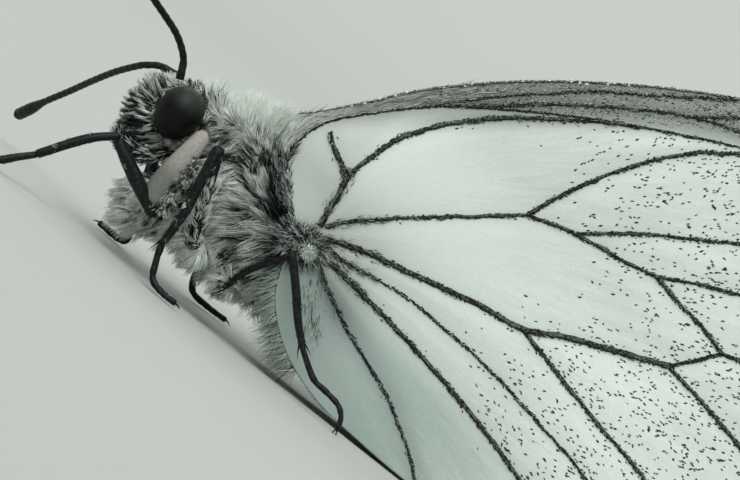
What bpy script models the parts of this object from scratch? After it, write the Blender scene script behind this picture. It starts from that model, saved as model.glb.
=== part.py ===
"""A black-veined white butterfly (Aporia crataegi), life size, at rest with its wings closed over its back.

Each named part of the body is one closed solid: head, eyes, palps, coiled tongue, prothorax, thorax,
abdomen, four wings, the three lengths of each leg, and the shaft and club of each feeler. The model is
still, so nothing is hinged. X runs from head to tail, Y from the left side to the right, Z up from the
floor. Sizes below are in millimetres, and X is 0 at the root of the hindwings.
"""

import math

import bmesh
import bpy
from mathutils import Matrix, Vector

MM = 0.001

# Driving dimensions.
SIDES = {"left": -1, "right": 1}
GAP = 0.1  # between neighbouring solids
WING_THICKNESS = 0.5
FOREWING_OFFSET = 0.36  # centre of a forewing from the middle plane, away from the body
HINDWING_OFFSET = 1.02  # centre of a hindwing from the middle plane, away from the body
FEELER_RADIUS = 0.26
TONGUE_THICKNESS = 0.5
FLOOR_CUTTER = (80.0, 40.0, 3.0)  # flattens what stands on the floor

# How far the wings spread round the body, beyond the offsets above.
BODY_AXIS = ((-2.5, 6.6), (12.5, 2.8))  # x and z of the body's line, from the wing roots to its tip
BODY_CLEARANCE = 1.9  # as far from that line the hindwings keep their whole spread
BODY_FADE = 6.5  # and over this distance more they close
FOREWING_SPREAD = 1.72
FOREWING_FADE = 7.5  # from its root
HINDWING_SPREAD = (1.78, 0.92)  # beside the chest, and beside the abdomen
HINDWING_SPREAD_RUN = (-1.0, 5.0)  # x where the one eases to the other

EYE_CENTRE = (-7.5, 1.3, 6.4)
EYE_RADII = (1.08, 0.95, 1.19)

# Outlines of the wings seen from the side, as (x, z) from the front of the root round to the back of it.
HINDWING_ROOT = (0.0, 5.7)
HINDWING_OUTLINE = [
    (-1.6, 6.1), (-2.5, 6.9), (-2.83, 8.1), (-2.6, 9.2), (-1.44, 10.95), (1.64, 13.75), (6.6, 16.9),
    (11.9, 19.6), (16.1, 21.5), (20.9, 22.8), (25.4, 21.4), (28.4, 17.8), (29.3, 12.6), (28.1, 7.4),
    (25.4, 3.0), (22.4, 0.7), (19.2, -0.12), (14.0, -0.12), (9.2, -0.1), (6.7, 0.12), (4.4, 0.45),
    (2.2, 1.3), (0.5, 2.8), (-0.3, 4.6),
]  # fmt: skip
FOREWING_ROOT = (-2.5, 7.5)
FOREWING_OUTLINE = [
    (-3.4, 8.1), (-3.5, 9.4), (-2.83, 10.0), (-1.6, 11.45), (0.2, 13.6), (3.6, 16.65), (8.4, 19.95),
    (14.0, 22.9), (19.5, 25.0), (24.6, 26.2), (27.3, 25.6), (28.6, 23.2), (29.1, 20.0), (27.9, 15.6),
    (24.9, 10.4), (21.3, 7.2), (16.5, 6.9), (10.0, 7.2), (4.0, 7.4), (-0.5, 7.6),
]  # fmt: skip

# Cross-sections of the body, as (x, lowest z, highest z, half width), from front to back.
THORAX_SECTIONS = [
    (-5.2, 1.9, 8.95, 1.5), (-4.7, 1.3, 9.4, 1.95), (-3.6, 1.0, 9.6, 2.2), (-2.2, 1.1, 9.0, 2.2),
    (-0.8, 1.2, 8.0, 2.1), (0.3, 1.3, 7.2, 1.85), (0.95, 1.75, 6.3, 1.3),
]  # fmt: skip
ABDOMEN_SECTIONS = [
    (1.05, 2.1, 6.2, 1.1), (1.8, 2.0, 6.3, 1.4), (3.6, 2.0, 6.1, 1.52), (6.2, 1.8, 5.45, 1.5),
    (8.8, 1.55, 4.75, 1.4), (11.0, 1.3, 4.0, 1.15), (12.6, 1.3, 3.25, 0.8), (13.5, 1.6, 2.7, 0.4),
]  # fmt: skip

# Cross-sections of the head, and of the breast and collar, as (z, front x, back x, half width), upwards.
HEAD_SECTIONS = [
    (4.3, -8.9, -7.9, 0.5), (4.6, -9.35, -7.2, 1.05), (5.3, -9.72, -6.6, 1.4), (6.2, -9.75, -6.42, 1.55),
    (6.9, -9.48, -6.45, 1.45), (7.6, -8.9, -6.6, 1.1), (8.1, -8.2, -6.75, 0.7), (8.4, -7.8, -7.0, 0.35),
]  # fmt: skip
PROTHORAX_SECTIONS = [
    (0.7, -7.0, -6.3, 0.4), (1.1, -7.4, -5.9, 1.0), (1.9, -7.95, -5.35, 1.55), (2.8, -8.2, -5.3, 1.7),
    (3.5, -7.6, -5.3, 1.7), (4.1, -6.7, -5.3, 1.65), (5.0, -6.25, -5.3, 1.6), (6.3, -6.28, -5.3, 1.5),
    (7.4, -6.35, -5.32, 1.2), (8.2, -6.5, -5.35, 0.85), (8.75, -6.25, -5.45, 0.45),
]  # fmt: skip

# Leg centre lines as (x, distance out from the middle plane, z), with radii at each point.
LEGS = {
    "fore_left": {
        "femur": ([(-5.55, 2.1, 2.35), (-7.19, 2.3, 3.16), (-8.7, 2.5, 3.96)], (0.3, 0.34, 0.28)),
        "tibia": ([(-8.98, 2.55, 3.97), (-9.73, 2.8, 3.18), (-10.9, 3.1, 1.5)], (0.25, 0.26, 0.27)),
        "tarsus": (
            [
                (-11.03, 3.13, 1.33), (-11.45, 3.3, 0.9), (-11.94, 3.5, 0.38), (-12.4, 3.65, 0.18),
                (-14.0, 4.1, 0.17),
            ],
            (0.25, 0.25, 0.25, 0.25, 0.25),
        ),
    },
    "mid_left": {
        "femur": ([(-3.48, 1.85, 2.19), (-4.3, 2.53, 4.1), (-4.95, 2.65, 5.8)], (0.27, 0.27, 0.25)),
        "tibia": (
            [(-5.14, 3.2, 6.15), (-4.87, 3.22, 4.71), (-4.61, 3.27, 3.2), (-4.57, 3.3, 1.75)],
            (0.26, 0.26, 0.26, 0.25),
        ),
        "tarsus": (
            [
                (-4.55, 3.32, 1.55), (-4.3, 3.38, 1.0), (-3.95, 3.5, 0.3), (-3.3, 3.7, 0.17),
                (-2.6, 3.85, 0.17),
            ],
            (0.25, 0.25, 0.25, 0.25, 0.25),
        ),
    },
    "hind_left": {
        "femur": ([(-1.48, 1.75, 1.7), (-1.1, 2.35, 3.0), (-0.2, 3.3, 4.6)], (0.26, 0.26, 0.25)),
        "tibia": (
            [(0.08, 3.4, 4.57), (0.97, 3.4, 3.65), (1.79, 3.35, 2.72), (2.56, 3.3, 2.01)],
            (0.26, 0.26, 0.26, 0.25),
        ),
        "tarsus": (
            [
                (2.72, 3.3, 1.88), (3.75, 3.3, 1.21), (4.45, 3.3, 1.1), (5.25, 3.35, 1.0), (6.2, 3.5, 0.4),
                (7.2, 3.6, 0.17),
            ],
            (0.25, 0.25, 0.25, 0.25, 0.25, 0.25),
        ),
    },
    "fore_right": {
        "femur": ([(-5.6, 2.1, 2.3), (-6.5, 2.5, 3.1), (-7.3, 2.8, 3.8)], (0.3, 0.32, 0.26)),
        "tibia": ([(-7.3, 3.0, 3.55), (-6.9, 3.3, 2.4), (-6.4, 3.6, 1.1)], (0.25, 0.26, 0.25)),
        "tarsus": (
            [(-6.32, 3.62, 0.93), (-6.2, 3.75, 0.35), (-6.6, 3.95, 0.17), (-7.6, 4.3, 0.17)],
            (0.25, 0.25, 0.25, 0.25),
        ),
    },
    "mid_right": {
        "femur": ([(-3.4, 1.85, 2.1), (-3.7, 2.6, 3.8), (-4.0, 2.9, 5.2)], (0.27, 0.27, 0.25)),
        "tibia": ([(-4.0, 3.4, 5.2), (-3.5, 3.7, 3.4), (-3.1, 4.0, 1.6)], (0.26, 0.26, 0.25)),
        "tarsus": (
            [(-3.05, 4.05, 1.4), (-2.85, 4.15, 0.7), (-2.5, 4.3, 0.26), (-1.7, 4.5, 0.17), (-0.7, 4.7, 0.17)],
            (0.25, 0.25, 0.25, 0.25, 0.25),
        ),
    },
    "hind_right": {
        "femur": ([(-1.5, 1.75, 1.7), (-0.8, 2.7, 3.1), (0.3, 3.5, 4.2)], (0.26, 0.26, 0.25)),
        "tibia": ([(0.55, 3.6, 4.1), (2.3, 3.8, 2.8), (4.0, 4.0, 1.5)], (0.26, 0.26, 0.25)),
        "tarsus": (
            [(4.15, 4.02, 1.35), (5.3, 4.15, 0.6), (6.1, 4.25, 0.2), (7.4, 4.4, 0.17), (8.6, 4.55, 0.17)],
            (0.25, 0.25, 0.25, 0.25, 0.25),
        ),
    },
}

# Feeler centre lines as (x, distance out from the middle plane, z).
FEELERS = {
    "left": {
        "shaft": [
            (-8.3, 1.15, 7.65), (-8.6, 1.2, 8.1), (-8.94, 1.5, 8.49), (-9.46, 1.9, 8.86), (-10.1, 2.4, 9.14),
            (-11.86, 4.1, 9.77), (-13.24, 5.4, 10.08), (-14.26, 6.4, 10.24),
        ],
        "club": [(-14.36, 6.5, 10.25), (-15.1, 7.3, 10.35), (-15.7, 7.95, 10.35), (-16.2, 8.5, 10.3)],
    },
    "right": {
        "shaft": [
            (-8.8, 1.35, 7.45), (-9.41, 1.35, 7.3), (-9.9, 1.5, 7.0), (-10.26, 1.9, 6.68),
            (-10.98, 3.1, 5.81), (-11.64, 4.5, 4.82), (-12.26, 5.9, 3.8),
        ],
        "club": [(-12.33, 6.05, 3.68), (-12.95, 7.3, 2.71), (-13.39, 8.3, 1.92), (-13.82, 9.2, 1.19)],
    },
}
PALP_LINE = [
    (-7.0, 0.75, 4.4), (-7.5, 0.75, 4.02), (-8.2, 0.75, 3.76), (-8.75, 0.72, 3.85), (-9.1, 0.7, 4.15),
]  # fmt: skip
PALP_RADII = (0.28, 0.34, 0.37, 0.34, 0.24)
TONGUE = (-8.25, 3.65, 0.42)  # x and z of the middle of the coil, and its radius
CLUB_RADII = (0.26, 0.31, 0.36, 0.28)

WHITE = (0.62, 0.67, 0.62, 1)
BLACK = (0.012, 0.014, 0.013, 1)
GREY_FUR = (0.33, 0.36, 0.33, 1)


def clear_scene():
    for obj in list(bpy.data.objects):
        bpy.data.objects.remove(obj, do_unlink=True)


def new_collection(name):
    collection = bpy.data.collections.new(name)
    bpy.context.scene.collection.children.link(collection)
    return collection


def add_object(name, mesh, collection, colour, roughness):
    """An object with a material of its own."""
    finish = bpy.data.materials.new(name)
    finish.use_nodes = True
    shader = finish.node_tree.nodes["Principled BSDF"]
    shader.inputs["Base Color"].default_value = colour
    shader.inputs["Roughness"].default_value = roughness
    mesh.materials.append(finish)
    mesh.shade_smooth()
    obj = bpy.data.objects.new(name, mesh)
    collection.objects.link(obj)
    return obj


def mesh_from(bm, name):
    bmesh.ops.recalc_face_normals(bm, faces=bm.faces)
    mesh = bpy.data.meshes.new(name)
    bm.to_mesh(mesh)
    bm.free()
    return mesh


def smooth_through(points, steps):
    """Points on a smooth curve through the given ones, with so many steps between each pair."""
    points = [Vector(point) for point in points]
    ends = [points[0] * 2 - points[1], *points, points[-1] * 2 - points[-2]]
    found = []
    for before, start, end, after in zip(ends, ends[1:], ends[2:], ends[3:]):
        for step in range(steps):
            t = step / steps
            found.append(
                start
                + (end - before) * (t / 2)
                + (before * 2 - start * 5 + end * 4 - after) * (t * t / 2)
                + (start * 3 - before - end * 3 + after) * (t * t * t / 2)
            )
    return [*found, points[-1]]


def ease(t):
    """0 at t = 0 and 1 at t = 1, level at both."""
    t = min(max(t, 0.0), 1.0)
    return t * t * (3 - 2 * t)


def ellipsoid(centre, radii, columns, rows):
    bm = bmesh.new()
    bmesh.ops.create_uvsphere(bm, u_segments=columns, v_segments=rows, radius=1)
    bmesh.ops.scale(bm, vec=Vector(radii) * MM, verts=bm.verts)
    bmesh.ops.translate(bm, vec=Vector(centre) * MM, verts=bm.verts)
    return bm


def loft(rings):
    """A closed skin over rings of one size, each a list of points."""
    bm = bmesh.new()
    before = None
    for points in rings:
        verts = [bm.verts.new(Vector(point) * MM) for point in points]
        if before:
            for i, vert in enumerate(verts):
                bm.faces.new((before[i - 1], before[i], vert, verts[i - 1]))
        else:
            bm.faces.new(verts)
        before = verts
    bm.faces.new(before)
    return bm


def turn(count):
    return [(math.cos(2 * math.pi * i / count), math.sin(2 * math.pi * i / count)) for i in range(count)]


def upright_loft(sections, steps, count):
    """Rings across the X axis, from (x, lowest z, highest z, half width)."""
    rings = []
    for x, low, high, width in (tuple(section) for section in smooth_through(sections, steps)):
        middle, half = (low + high) / 2, (high - low) / 2
        rings.append([(x, width * a, middle + half * b) for a, b in turn(count)])
    return loft(rings)


def level_loft(sections, steps, count):
    """Rings across the Z axis, from (z, front x, back x, half width)."""
    rings = []
    for z, front, back, width in (tuple(section) for section in smooth_through(sections, steps)):
        middle, half = (front + back) / 2, (back - front) / 2
        rings.append([(middle + half * a, width * b, z) for a, b in turn(count)])
    return loft(rings)


def tube_mesh(name, points, radii):
    """A round tube through the points, closed at its ends, as a mesh."""
    curve = bpy.data.curves.new(name, "CURVE")
    curve.dimensions = "3D"
    curve.bevel_depth = MM
    curve.bevel_resolution = 2
    curve.use_fill_caps = True
    spline = curve.splines.new("POLY")
    spline.points.add(len(points) - 1)
    for knot, point, radius in zip(spline.points, points, radii):
        knot.co = (*(Vector(point) * MM), 1)
        knot.radius = radius
    guide = bpy.data.objects.new(name, curve)
    bpy.context.scene.collection.objects.link(guide)
    graph = bpy.context.evaluated_depsgraph_get()
    bm = bmesh.new()
    bm.from_mesh(bpy.data.meshes.new_from_object(guide.evaluated_get(graph)))
    bpy.data.objects.remove(guide, do_unlink=True)
    bmesh.ops.remove_doubles(bm, verts=bm.verts, dist=MM / 1000)
    return mesh_from(bm, name)


def mirrored(points, side):
    return [(x, y * side, z) for x, y, z in points]


def body_nearness(x, z):
    """1 beside the body, easing to 0 well above it and behind its tip."""
    (front_x, front_z), (tip_x, tip_z) = BODY_AXIS
    along = min(max((x - front_x) / (tip_x - front_x), 0.0), 1.0)
    axis_x = front_x + (tip_x - front_x) * along
    axis_z = front_z + (tip_z - front_z) * along
    away = math.hypot(x - axis_x, z - axis_z)
    return 1 - ease((away - BODY_CLEARANCE) / BODY_FADE)


def forewing_depth(x, z):
    """How far a forewing stands from the middle plane."""
    away = math.hypot(x - FOREWING_ROOT[0], z - FOREWING_ROOT[1])
    return FOREWING_OFFSET + FOREWING_SPREAD * (1 - ease(away / FOREWING_FADE))


def hindwing_depth(x, z):
    """How far a hindwing stands from the middle plane, spread round the abdomen and over the forewing."""
    wide, narrow = HINDWING_SPREAD
    front, back = HINDWING_SPREAD_RUN
    spread = wide - (wide - narrow) * ease((x - front) / (back - front))
    return HINDWING_OFFSET + spread * body_nearness(x, z)


def wing_mesh(name, root, outline, depth, side, steps, rings):
    """A sheet in rays from the root to the outline, bent by depth."""
    edge = smooth_through(outline, steps)
    bm = bmesh.new()
    bmesh.ops.create_grid(bm, x_segments=len(edge) - 1, y_segments=rings, size=1)
    start = Vector(root)
    for vert in bm.verts:
        ray = edge[round((vert.co.x + 1) / 2 * (len(edge) - 1))]
        x, z = start.lerp(ray, (vert.co.y + 1) / 2)
        vert.co = Vector((x, depth(x, z) * side, z)) * MM
    bmesh.ops.remove_doubles(bm, verts=bm.verts, dist=MM / 1000)
    return mesh_from(bm, name)


def add_cutter(name, bm, cutters):
    cutter = bpy.data.objects.new(name, mesh_from(bm, name))
    cutter.hide_render = True
    cutter.display_type = "WIRE"
    cutters.objects.link(cutter)
    return cutter


def cut(obj, cutter):
    boolean = obj.modifiers.new(cutter.name, "BOOLEAN")
    boolean.operation = "DIFFERENCE"
    boolean.object = cutter


def make_floor_cutter(cutters):
    bm = bmesh.new()
    bmesh.ops.create_cube(bm, size=1)
    bmesh.ops.scale(bm, vec=Vector(FLOOR_CUTTER) * MM, verts=bm.verts)
    bmesh.ops.translate(bm, vec=Vector((0, 0, -FLOOR_CUTTER[2] / 2)) * MM, verts=bm.verts)
    return add_cutter("floor_cutter", bm, cutters)


def make_head(body, cutters):
    head = add_object("head", mesh_from(level_loft(HEAD_SECTIONS, 2, 20), "head"), body, GREY_FUR, 0.9)
    for label, side in SIDES.items():
        x, y, z = EYE_CENTRE
        centre = (x, y * side, z)
        eye = mesh_from(ellipsoid(centre, EYE_RADII, 20, 12), f"eye_{label}")
        add_object(f"eye_{label}", eye, body, BLACK, 0.3)
        socket = ellipsoid(centre, [radius + GAP for radius in EYE_RADII], 20, 12)
        cut(head, add_cutter(f"socket_{label}", socket, cutters))
        palp = tube_mesh(f"palp_{label}", mirrored(PALP_LINE, side), PALP_RADII)
        add_object(f"palp_{label}", palp, body, GREY_FUR, 0.9)


def make_tongue(body):
    """The coiled tongue, a flat disc between the palps."""
    bm = bmesh.new()
    x, z, radius = (value * MM for value in TONGUE)
    depth = TONGUE_THICKNESS * MM
    bmesh.ops.create_cone(bm, cap_ends=True, segments=16, radius1=radius, radius2=radius, depth=depth)
    bmesh.ops.rotate(bm, matrix=Matrix.Rotation(math.pi / 2, 3, "X"), verts=bm.verts)
    bmesh.ops.translate(bm, vec=(x, 0, z), verts=bm.verts)
    add_object("proboscis", mesh_from(bm, "proboscis"), body, BLACK, 0.5)


def make_body(body):
    for name, bm in (
        ("prothorax", level_loft(PROTHORAX_SECTIONS, 2, 16)),
        ("thorax", upright_loft(THORAX_SECTIONS, 2, 20)),
        ("abdomen", upright_loft(ABDOMEN_SECTIONS, 2, 18)),
    ):
        add_object(name, mesh_from(bm, name), body, GREY_FUR, 0.9)


def make_wings(body, floor):
    for label, side in SIDES.items():
        for kind, root, outline, depth in (
            ("forewing", FOREWING_ROOT, FOREWING_OUTLINE, forewing_depth),
            ("hindwing", HINDWING_ROOT, HINDWING_OUTLINE, hindwing_depth),
        ):
            name = f"{kind}_{label}"
            wing = add_object(name, wing_mesh(name, root, outline, depth, side, 2, 6), body, WHITE, 0.6)
            shell = wing.modifiers.new("thickness", "SOLIDIFY")
            shell.thickness = WING_THICKNESS * MM
            shell.offset = 0
            if kind == "hindwing":
                cut(wing, floor)


def make_legs(body, floor):
    for label, lengths in LEGS.items():
        side = SIDES[label.split("_")[1]]
        for length, (points, radii) in lengths.items():
            name = f"{length}_{label}"
            leg = add_object(name, tube_mesh(name, mirrored(points, side), radii), body, BLACK, 0.5)
            if length == "tarsus":
                cut(leg, floor)


def make_feelers(body):
    for label, side in SIDES.items():
        for length, points in FEELERS[label].items():
            name = f"antenna_{length}_{label}"
            radii = CLUB_RADII if length == "club" else [FEELER_RADIUS] * len(points)
            add_object(name, tube_mesh(name, mirrored(points, side), radii), body, BLACK, 0.5)


def centre_over_origin(parts, cutters):
    """Hang all on one empty, which puts the middle of the parts on the Z axis."""
    graph = bpy.context.evaluated_depsgraph_get()
    corners = [Vector(corner) for obj in parts for corner in obj.evaluated_get(graph).bound_box]
    middle = [(min(axis) + max(axis)) / 2 for axis in zip(*corners)]
    stance = bpy.data.objects.new("stance", None)
    bpy.context.scene.collection.objects.link(stance)
    stance.location = (-middle[0], -middle[1], 0)
    for obj in [*parts, *cutters]:
        obj.parent = stance


def main():
    clear_scene()
    body = new_collection("butterfly")
    cutters = new_collection("cutters")
    floor = make_floor_cutter(cutters)
    make_head(body, cutters)
    make_tongue(body)
    make_body(body)
    make_wings(body, floor)
    make_legs(body, floor)
    make_feelers(body)
    centre_over_origin(body.objects, cutters.objects)


main()
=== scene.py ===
# %% [markdown]
# # A black-veined white at rest
# A black-veined white is a large white butterfly whose wing veins are lined with black scales. This
# one rests with its wings closed over its back, its feelers spread, and its legs on the floor.
# The solids of the model come first, as a fixed frame that gives every place and size. New pieces are
# then made round them: wings, veins, legs, feelers, eyes, skin and hair.

# %% Load the frame
import math

import bmesh
import bpy
import numpy as np
from mathutils import Matrix, Vector
from mathutils.kdtree import KDTree


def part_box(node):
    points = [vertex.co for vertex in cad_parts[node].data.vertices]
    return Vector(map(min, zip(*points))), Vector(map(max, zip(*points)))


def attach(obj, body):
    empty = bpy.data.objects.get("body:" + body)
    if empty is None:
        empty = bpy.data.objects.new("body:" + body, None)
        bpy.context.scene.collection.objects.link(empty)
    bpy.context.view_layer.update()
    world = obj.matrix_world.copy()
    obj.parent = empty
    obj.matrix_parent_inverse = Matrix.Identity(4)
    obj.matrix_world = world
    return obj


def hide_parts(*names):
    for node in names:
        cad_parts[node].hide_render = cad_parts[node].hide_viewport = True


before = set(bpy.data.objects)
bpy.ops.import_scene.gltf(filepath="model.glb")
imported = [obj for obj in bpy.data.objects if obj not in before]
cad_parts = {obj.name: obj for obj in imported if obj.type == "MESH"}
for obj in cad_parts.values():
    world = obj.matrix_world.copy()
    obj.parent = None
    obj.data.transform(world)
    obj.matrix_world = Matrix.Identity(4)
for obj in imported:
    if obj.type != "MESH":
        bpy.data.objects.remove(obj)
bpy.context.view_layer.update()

print("solids:", len(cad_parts))

# %% [markdown]
# ## One set of measures
# A butterfly is easiest to describe in millimetres from the root of its hindwings, with X towards the
# tail, Y towards its right side and Z up from the floor. Blender works in metres. So every piece is
# made in millimetres, and one matrix takes it into the frame. The matrix is found from the left eye,
# whose place is known in both.

# %% Millimetres to the frame
MM = 0.001
SIDES = {"left": -1, "right": 1}
EYE_CENTRE = Vector((-7.43, 1.3, 6.34))  # Y is the distance out from the middle plane
EYE_RADII = Vector((0.98, 0.95, 1.2))

eye_low, eye_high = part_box("eye_left")
origin_shift = (eye_low + eye_high) / 2 - Vector((EYE_CENTRE.x, -EYE_CENTRE.y, EYE_CENTRE.z)) * MM
TO_FRAME = Matrix.Translation(origin_shift) @ Matrix.Scale(MM, 4)
print("root of the hindwings:", [round(value, 4) for value in origin_shift])

# %% [markdown]
# ## The camera
# The butterfly is seen from its left, nearly level, and the camera is rolled, so that its back runs
# up to the right. A long lens, 150 mm away, keeps the shape of the wings true.
# The camera's three directions are worked out from two angles and written into its matrix.

# %% Camera
ROLL = math.radians(38)
RISE = math.radians(2.5)
DISTANCE = 150.0
VIEW_WIDTH = 30.833  # what the view spans at the butterfly
AIM = Vector((2.1, -1.5, 7.07))  # the place at the middle of the view
SENSOR = 36.0
NEAREST = 0.001  # nothing closer to the camera is drawn

ahead = Vector((0, math.cos(RISE), -math.sin(RISE)))
level = Vector((1, 0, 0))
upright = Vector((0, math.sin(RISE), math.cos(RISE)))
right = math.cos(ROLL) * level + math.sin(ROLL) * upright
up = -math.sin(ROLL) * level + math.cos(ROLL) * upright

lens = bpy.data.cameras.new("camera")
lens.sensor_width = SENSOR
lens.lens = SENSOR * DISTANCE / VIEW_WIDTH
lens.clip_start = NEAREST
camera = bpy.data.objects.new("camera", lens)
turn = Matrix((right, up, -ahead)).transposed().to_4x4()
camera.matrix_world = Matrix.Translation(TO_FRAME @ (AIM - ahead * DISTANCE)) @ turn
bpy.context.scene.collection.objects.link(camera)
bpy.context.scene.camera = camera
print("lens:", round(lens.lens), "mm")

# %% [markdown]
# ## Materials
# A helper keeps each finish short: it makes a Principled surface, adds a node, and links them. Numbers
# that hold all over a surface go on the shader's own sockets.

# %% Helpers for node trees
def new_finish(name, colour, roughness, **sockets):
    """A material with a Principled shader, and that shader. The colour holds where no node gives one."""
    finish = bpy.data.materials.new(name)
    finish.use_nodes = True
    shader = finish.node_tree.nodes["Principled BSDF"]
    shader.inputs["Base Color"].default_value = (*colour, 1)
    shader.inputs["Roughness"].default_value = roughness
    for socket, value in sockets.items():
        shader.inputs[socket.replace("_", " ")].default_value = value
    return finish, shader


def add_node(finish, kind, settings=None, **inputs):
    """A node, with its inputs set to values or linked to other nodes' outputs."""
    node = finish.node_tree.nodes.new(kind)
    for name, value in (settings or {}).items():
        setattr(node, name, value)
    for name, value in inputs.items():
        socket = node.inputs[int(name[1:])] if name[0] == "i" and name[1:].isdigit() else node.inputs[name]
        if isinstance(value, bpy.types.NodeSocket):
            finish.node_tree.links.new(value, socket)
        else:
            socket.default_value = value
    return node


def join(finish, output, socket):
    finish.node_tree.links.new(output, socket)


# %% [markdown]
# ## The floor
# The floor is plain and pale. It is a wide dish whose rim curves up into a wall, like a photographer's
# paper sweep, so that no edge shows behind the butterfly. One profile is spun round the upright axis.

# %% Floor
FLOOR_RADIUS = 0.45
SWEEP_RADIUS = 0.25  # of the curve between floor and wall
WALL_TOP = 0.4
PROFILE_STEPS = 12
SPIN_STEPS = 96
PAPER_GREY = (0.46, 0.48, 0.46)

bm = bmesh.new()
profile = [(0.0, 0.0), (FLOOR_RADIUS, 0.0)]
for step in range(1, PROFILE_STEPS + 1):
    angle = math.pi / 2 * step / PROFILE_STEPS
    profile.append((FLOOR_RADIUS + SWEEP_RADIUS * math.sin(angle), SWEEP_RADIUS * (1 - math.cos(angle))))
profile.append((FLOOR_RADIUS + SWEEP_RADIUS, WALL_TOP))
corners = [bm.verts.new((radius, 0, height)) for radius, height in profile]
edges = [bm.edges.new(pair) for pair in zip(corners, corners[1:])]
bmesh.ops.spin(
    bm, geom=[*corners, *edges], axis=(0, 0, 1), cent=(0, 0, 0), angle=2 * math.pi, steps=SPIN_STEPS,
    use_merge=True,
)
bmesh.ops.remove_doubles(bm, verts=bm.verts, dist=1e-6)
bmesh.ops.recalc_face_normals(bm, faces=bm.faces)
floor_mesh = bpy.data.meshes.new("floor")
bm.to_mesh(floor_mesh)
bm.free()
floor_mesh.shade_smooth()
floor_paper, _ = new_finish("floor paper", PAPER_GREY, 0.9)
floor_mesh.materials.append(floor_paper)
floor = bpy.data.objects.new("floor", floor_mesh)
bpy.context.scene.collection.objects.link(floor)
print("floor:", len(floor_mesh.polygons), "faces")

# %% [markdown]
# ## The light
# Soft daylight from above suits a pale insect: hard light would burn out the wings and lose the hair.
# Each sun here is as wide as a bright patch of cloud, which makes its shadows soft, and the sky adds
# the rest. Colours are shown without a film curve, so white stays white.

# %% Suns and sky
def add_sun(name, towards, strength, spread, colour):
    """Light from a patch of sky, given by the direction in which it lies."""
    light = bpy.data.lights.new(name, "SUN")
    light.energy = strength
    light.angle = math.radians(spread)
    light.color = colour
    lamp = bpy.data.objects.new(name, light)
    lamp.rotation_euler = Vector(towards).to_track_quat("Z", "Y").to_euler()
    bpy.context.scene.collection.objects.link(lamp)


CLOUDS = {  # direction, strength, spread in degrees, colour
    "high_cloud": ((-0.22, -0.60, 0.80), 2.25, 50, (0.98, 1.0, 0.985)),
    "low_cloud": ((0.55, -0.80, 0.25), 0.58, 60, (1.0, 1.0, 0.98)),
    "far_cloud": ((-0.30, 0.80, 0.65), 0.86, 50, (0.98, 1.0, 0.985)),
}
for name, cloud in CLOUDS.items():
    add_sun(name, *cloud)

SKY = (0.95, 1.0, 0.96, 1)
SKY_STRENGTH = 0.54
world = bpy.data.worlds.new("sky")
world.use_nodes = True
world.node_tree.nodes["Background"].inputs["Color"].default_value = SKY
world.node_tree.nodes["Background"].inputs["Strength"].default_value = SKY_STRENGTH
bpy.context.scene.world = world
bpy.context.scene.view_settings.view_transform = "Standard"
print("suns:", len(CLOUDS))

# %% [markdown]
# ## How a piece is finished
# Each piece is built as a bmesh in millimetres. Two functions end them all: one takes the shape into the
# frame, turns its faces outwards and smooths it; the other gives it a finish, hangs it on the root, and
# hides the solids it stands for.

# %% Finish a piece
made = []


def finish_piece(name, mesh, finish, slot, *nodes):
    """An object from a mesh that is already in the frame."""
    mesh.materials.append(finish)
    piece = bpy.data.objects.new(name, mesh)
    bpy.context.scene.collection.objects.link(piece)
    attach(piece, "root")
    if nodes:
        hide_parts(*nodes)
    made.append(name)
    return piece


def mesh_of(name, bm):
    """A mesh in the frame from a bmesh in millimetres."""
    bmesh.ops.transform(bm, matrix=TO_FRAME, verts=bm.verts)
    bmesh.ops.recalc_face_normals(bm, faces=bm.faces)
    mesh = bpy.data.meshes.new(name)
    bm.to_mesh(mesh)
    bm.free()
    mesh.shade_smooth()
    return mesh


# %% [markdown]
# ## Curves and tubes
# Veins, legs and feelers are long and thin. Each follows a few points, and a smooth curve is run
# through them. A ring is then pulled along the curve, one extrusion for each point, which is how a
# modeller would do it by hand. The ring can be flattened across a given direction, as a vein is.

# %% Smooth curves
def smooth_through(points, steps=8):
    """Points on a smooth curve through the given ones, with so many steps between each pair."""
    points = np.array(points, float)
    ends = np.vstack([2 * points[0] - points[1], points, 2 * points[-1] - points[-2]])
    found = []
    for before, start, end, after in zip(ends, ends[1:], ends[2:], ends[3:]):
        for step in range(steps):
            t = step / steps
            found.append(
                start
                + (end - before) * (t / 2)
                + (2 * before - 5 * start + 4 * end - after) * (t * t / 2)
                + (3 * start - before - 3 * end + after) * (t * t * t / 2)
            )
    return np.array([*found, points[-1]])


def evenly(path, spacing):
    """The same line with points about a spacing apart."""
    steps = np.linalg.norm(np.diff(path, axis=0), axis=1)
    along = np.concatenate([[0], np.cumsum(steps)])
    wanted = np.linspace(0, along[-1], max(2, round(along[-1] / spacing) + 1))
    return np.column_stack([np.interp(wanted, along, path[:, axis]) for axis in range(path.shape[1])])


def ease(t):
    """A share that rises from 0 at t = 0 to 1 at t = 1, and is level at both."""
    t = np.clip(t, 0.0, 1.0)
    return t * t * (3 - 2 * t)


# %% Rings pulled along a curve
RING_SIDES = 12  # where nothing else is said


def headings(path):
    """The direction of travel at each point."""
    path = np.asarray(path, float)
    ahead_of = np.gradient(path, axis=0)
    return ahead_of / np.linalg.norm(ahead_of, axis=1)[:, None]


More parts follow.
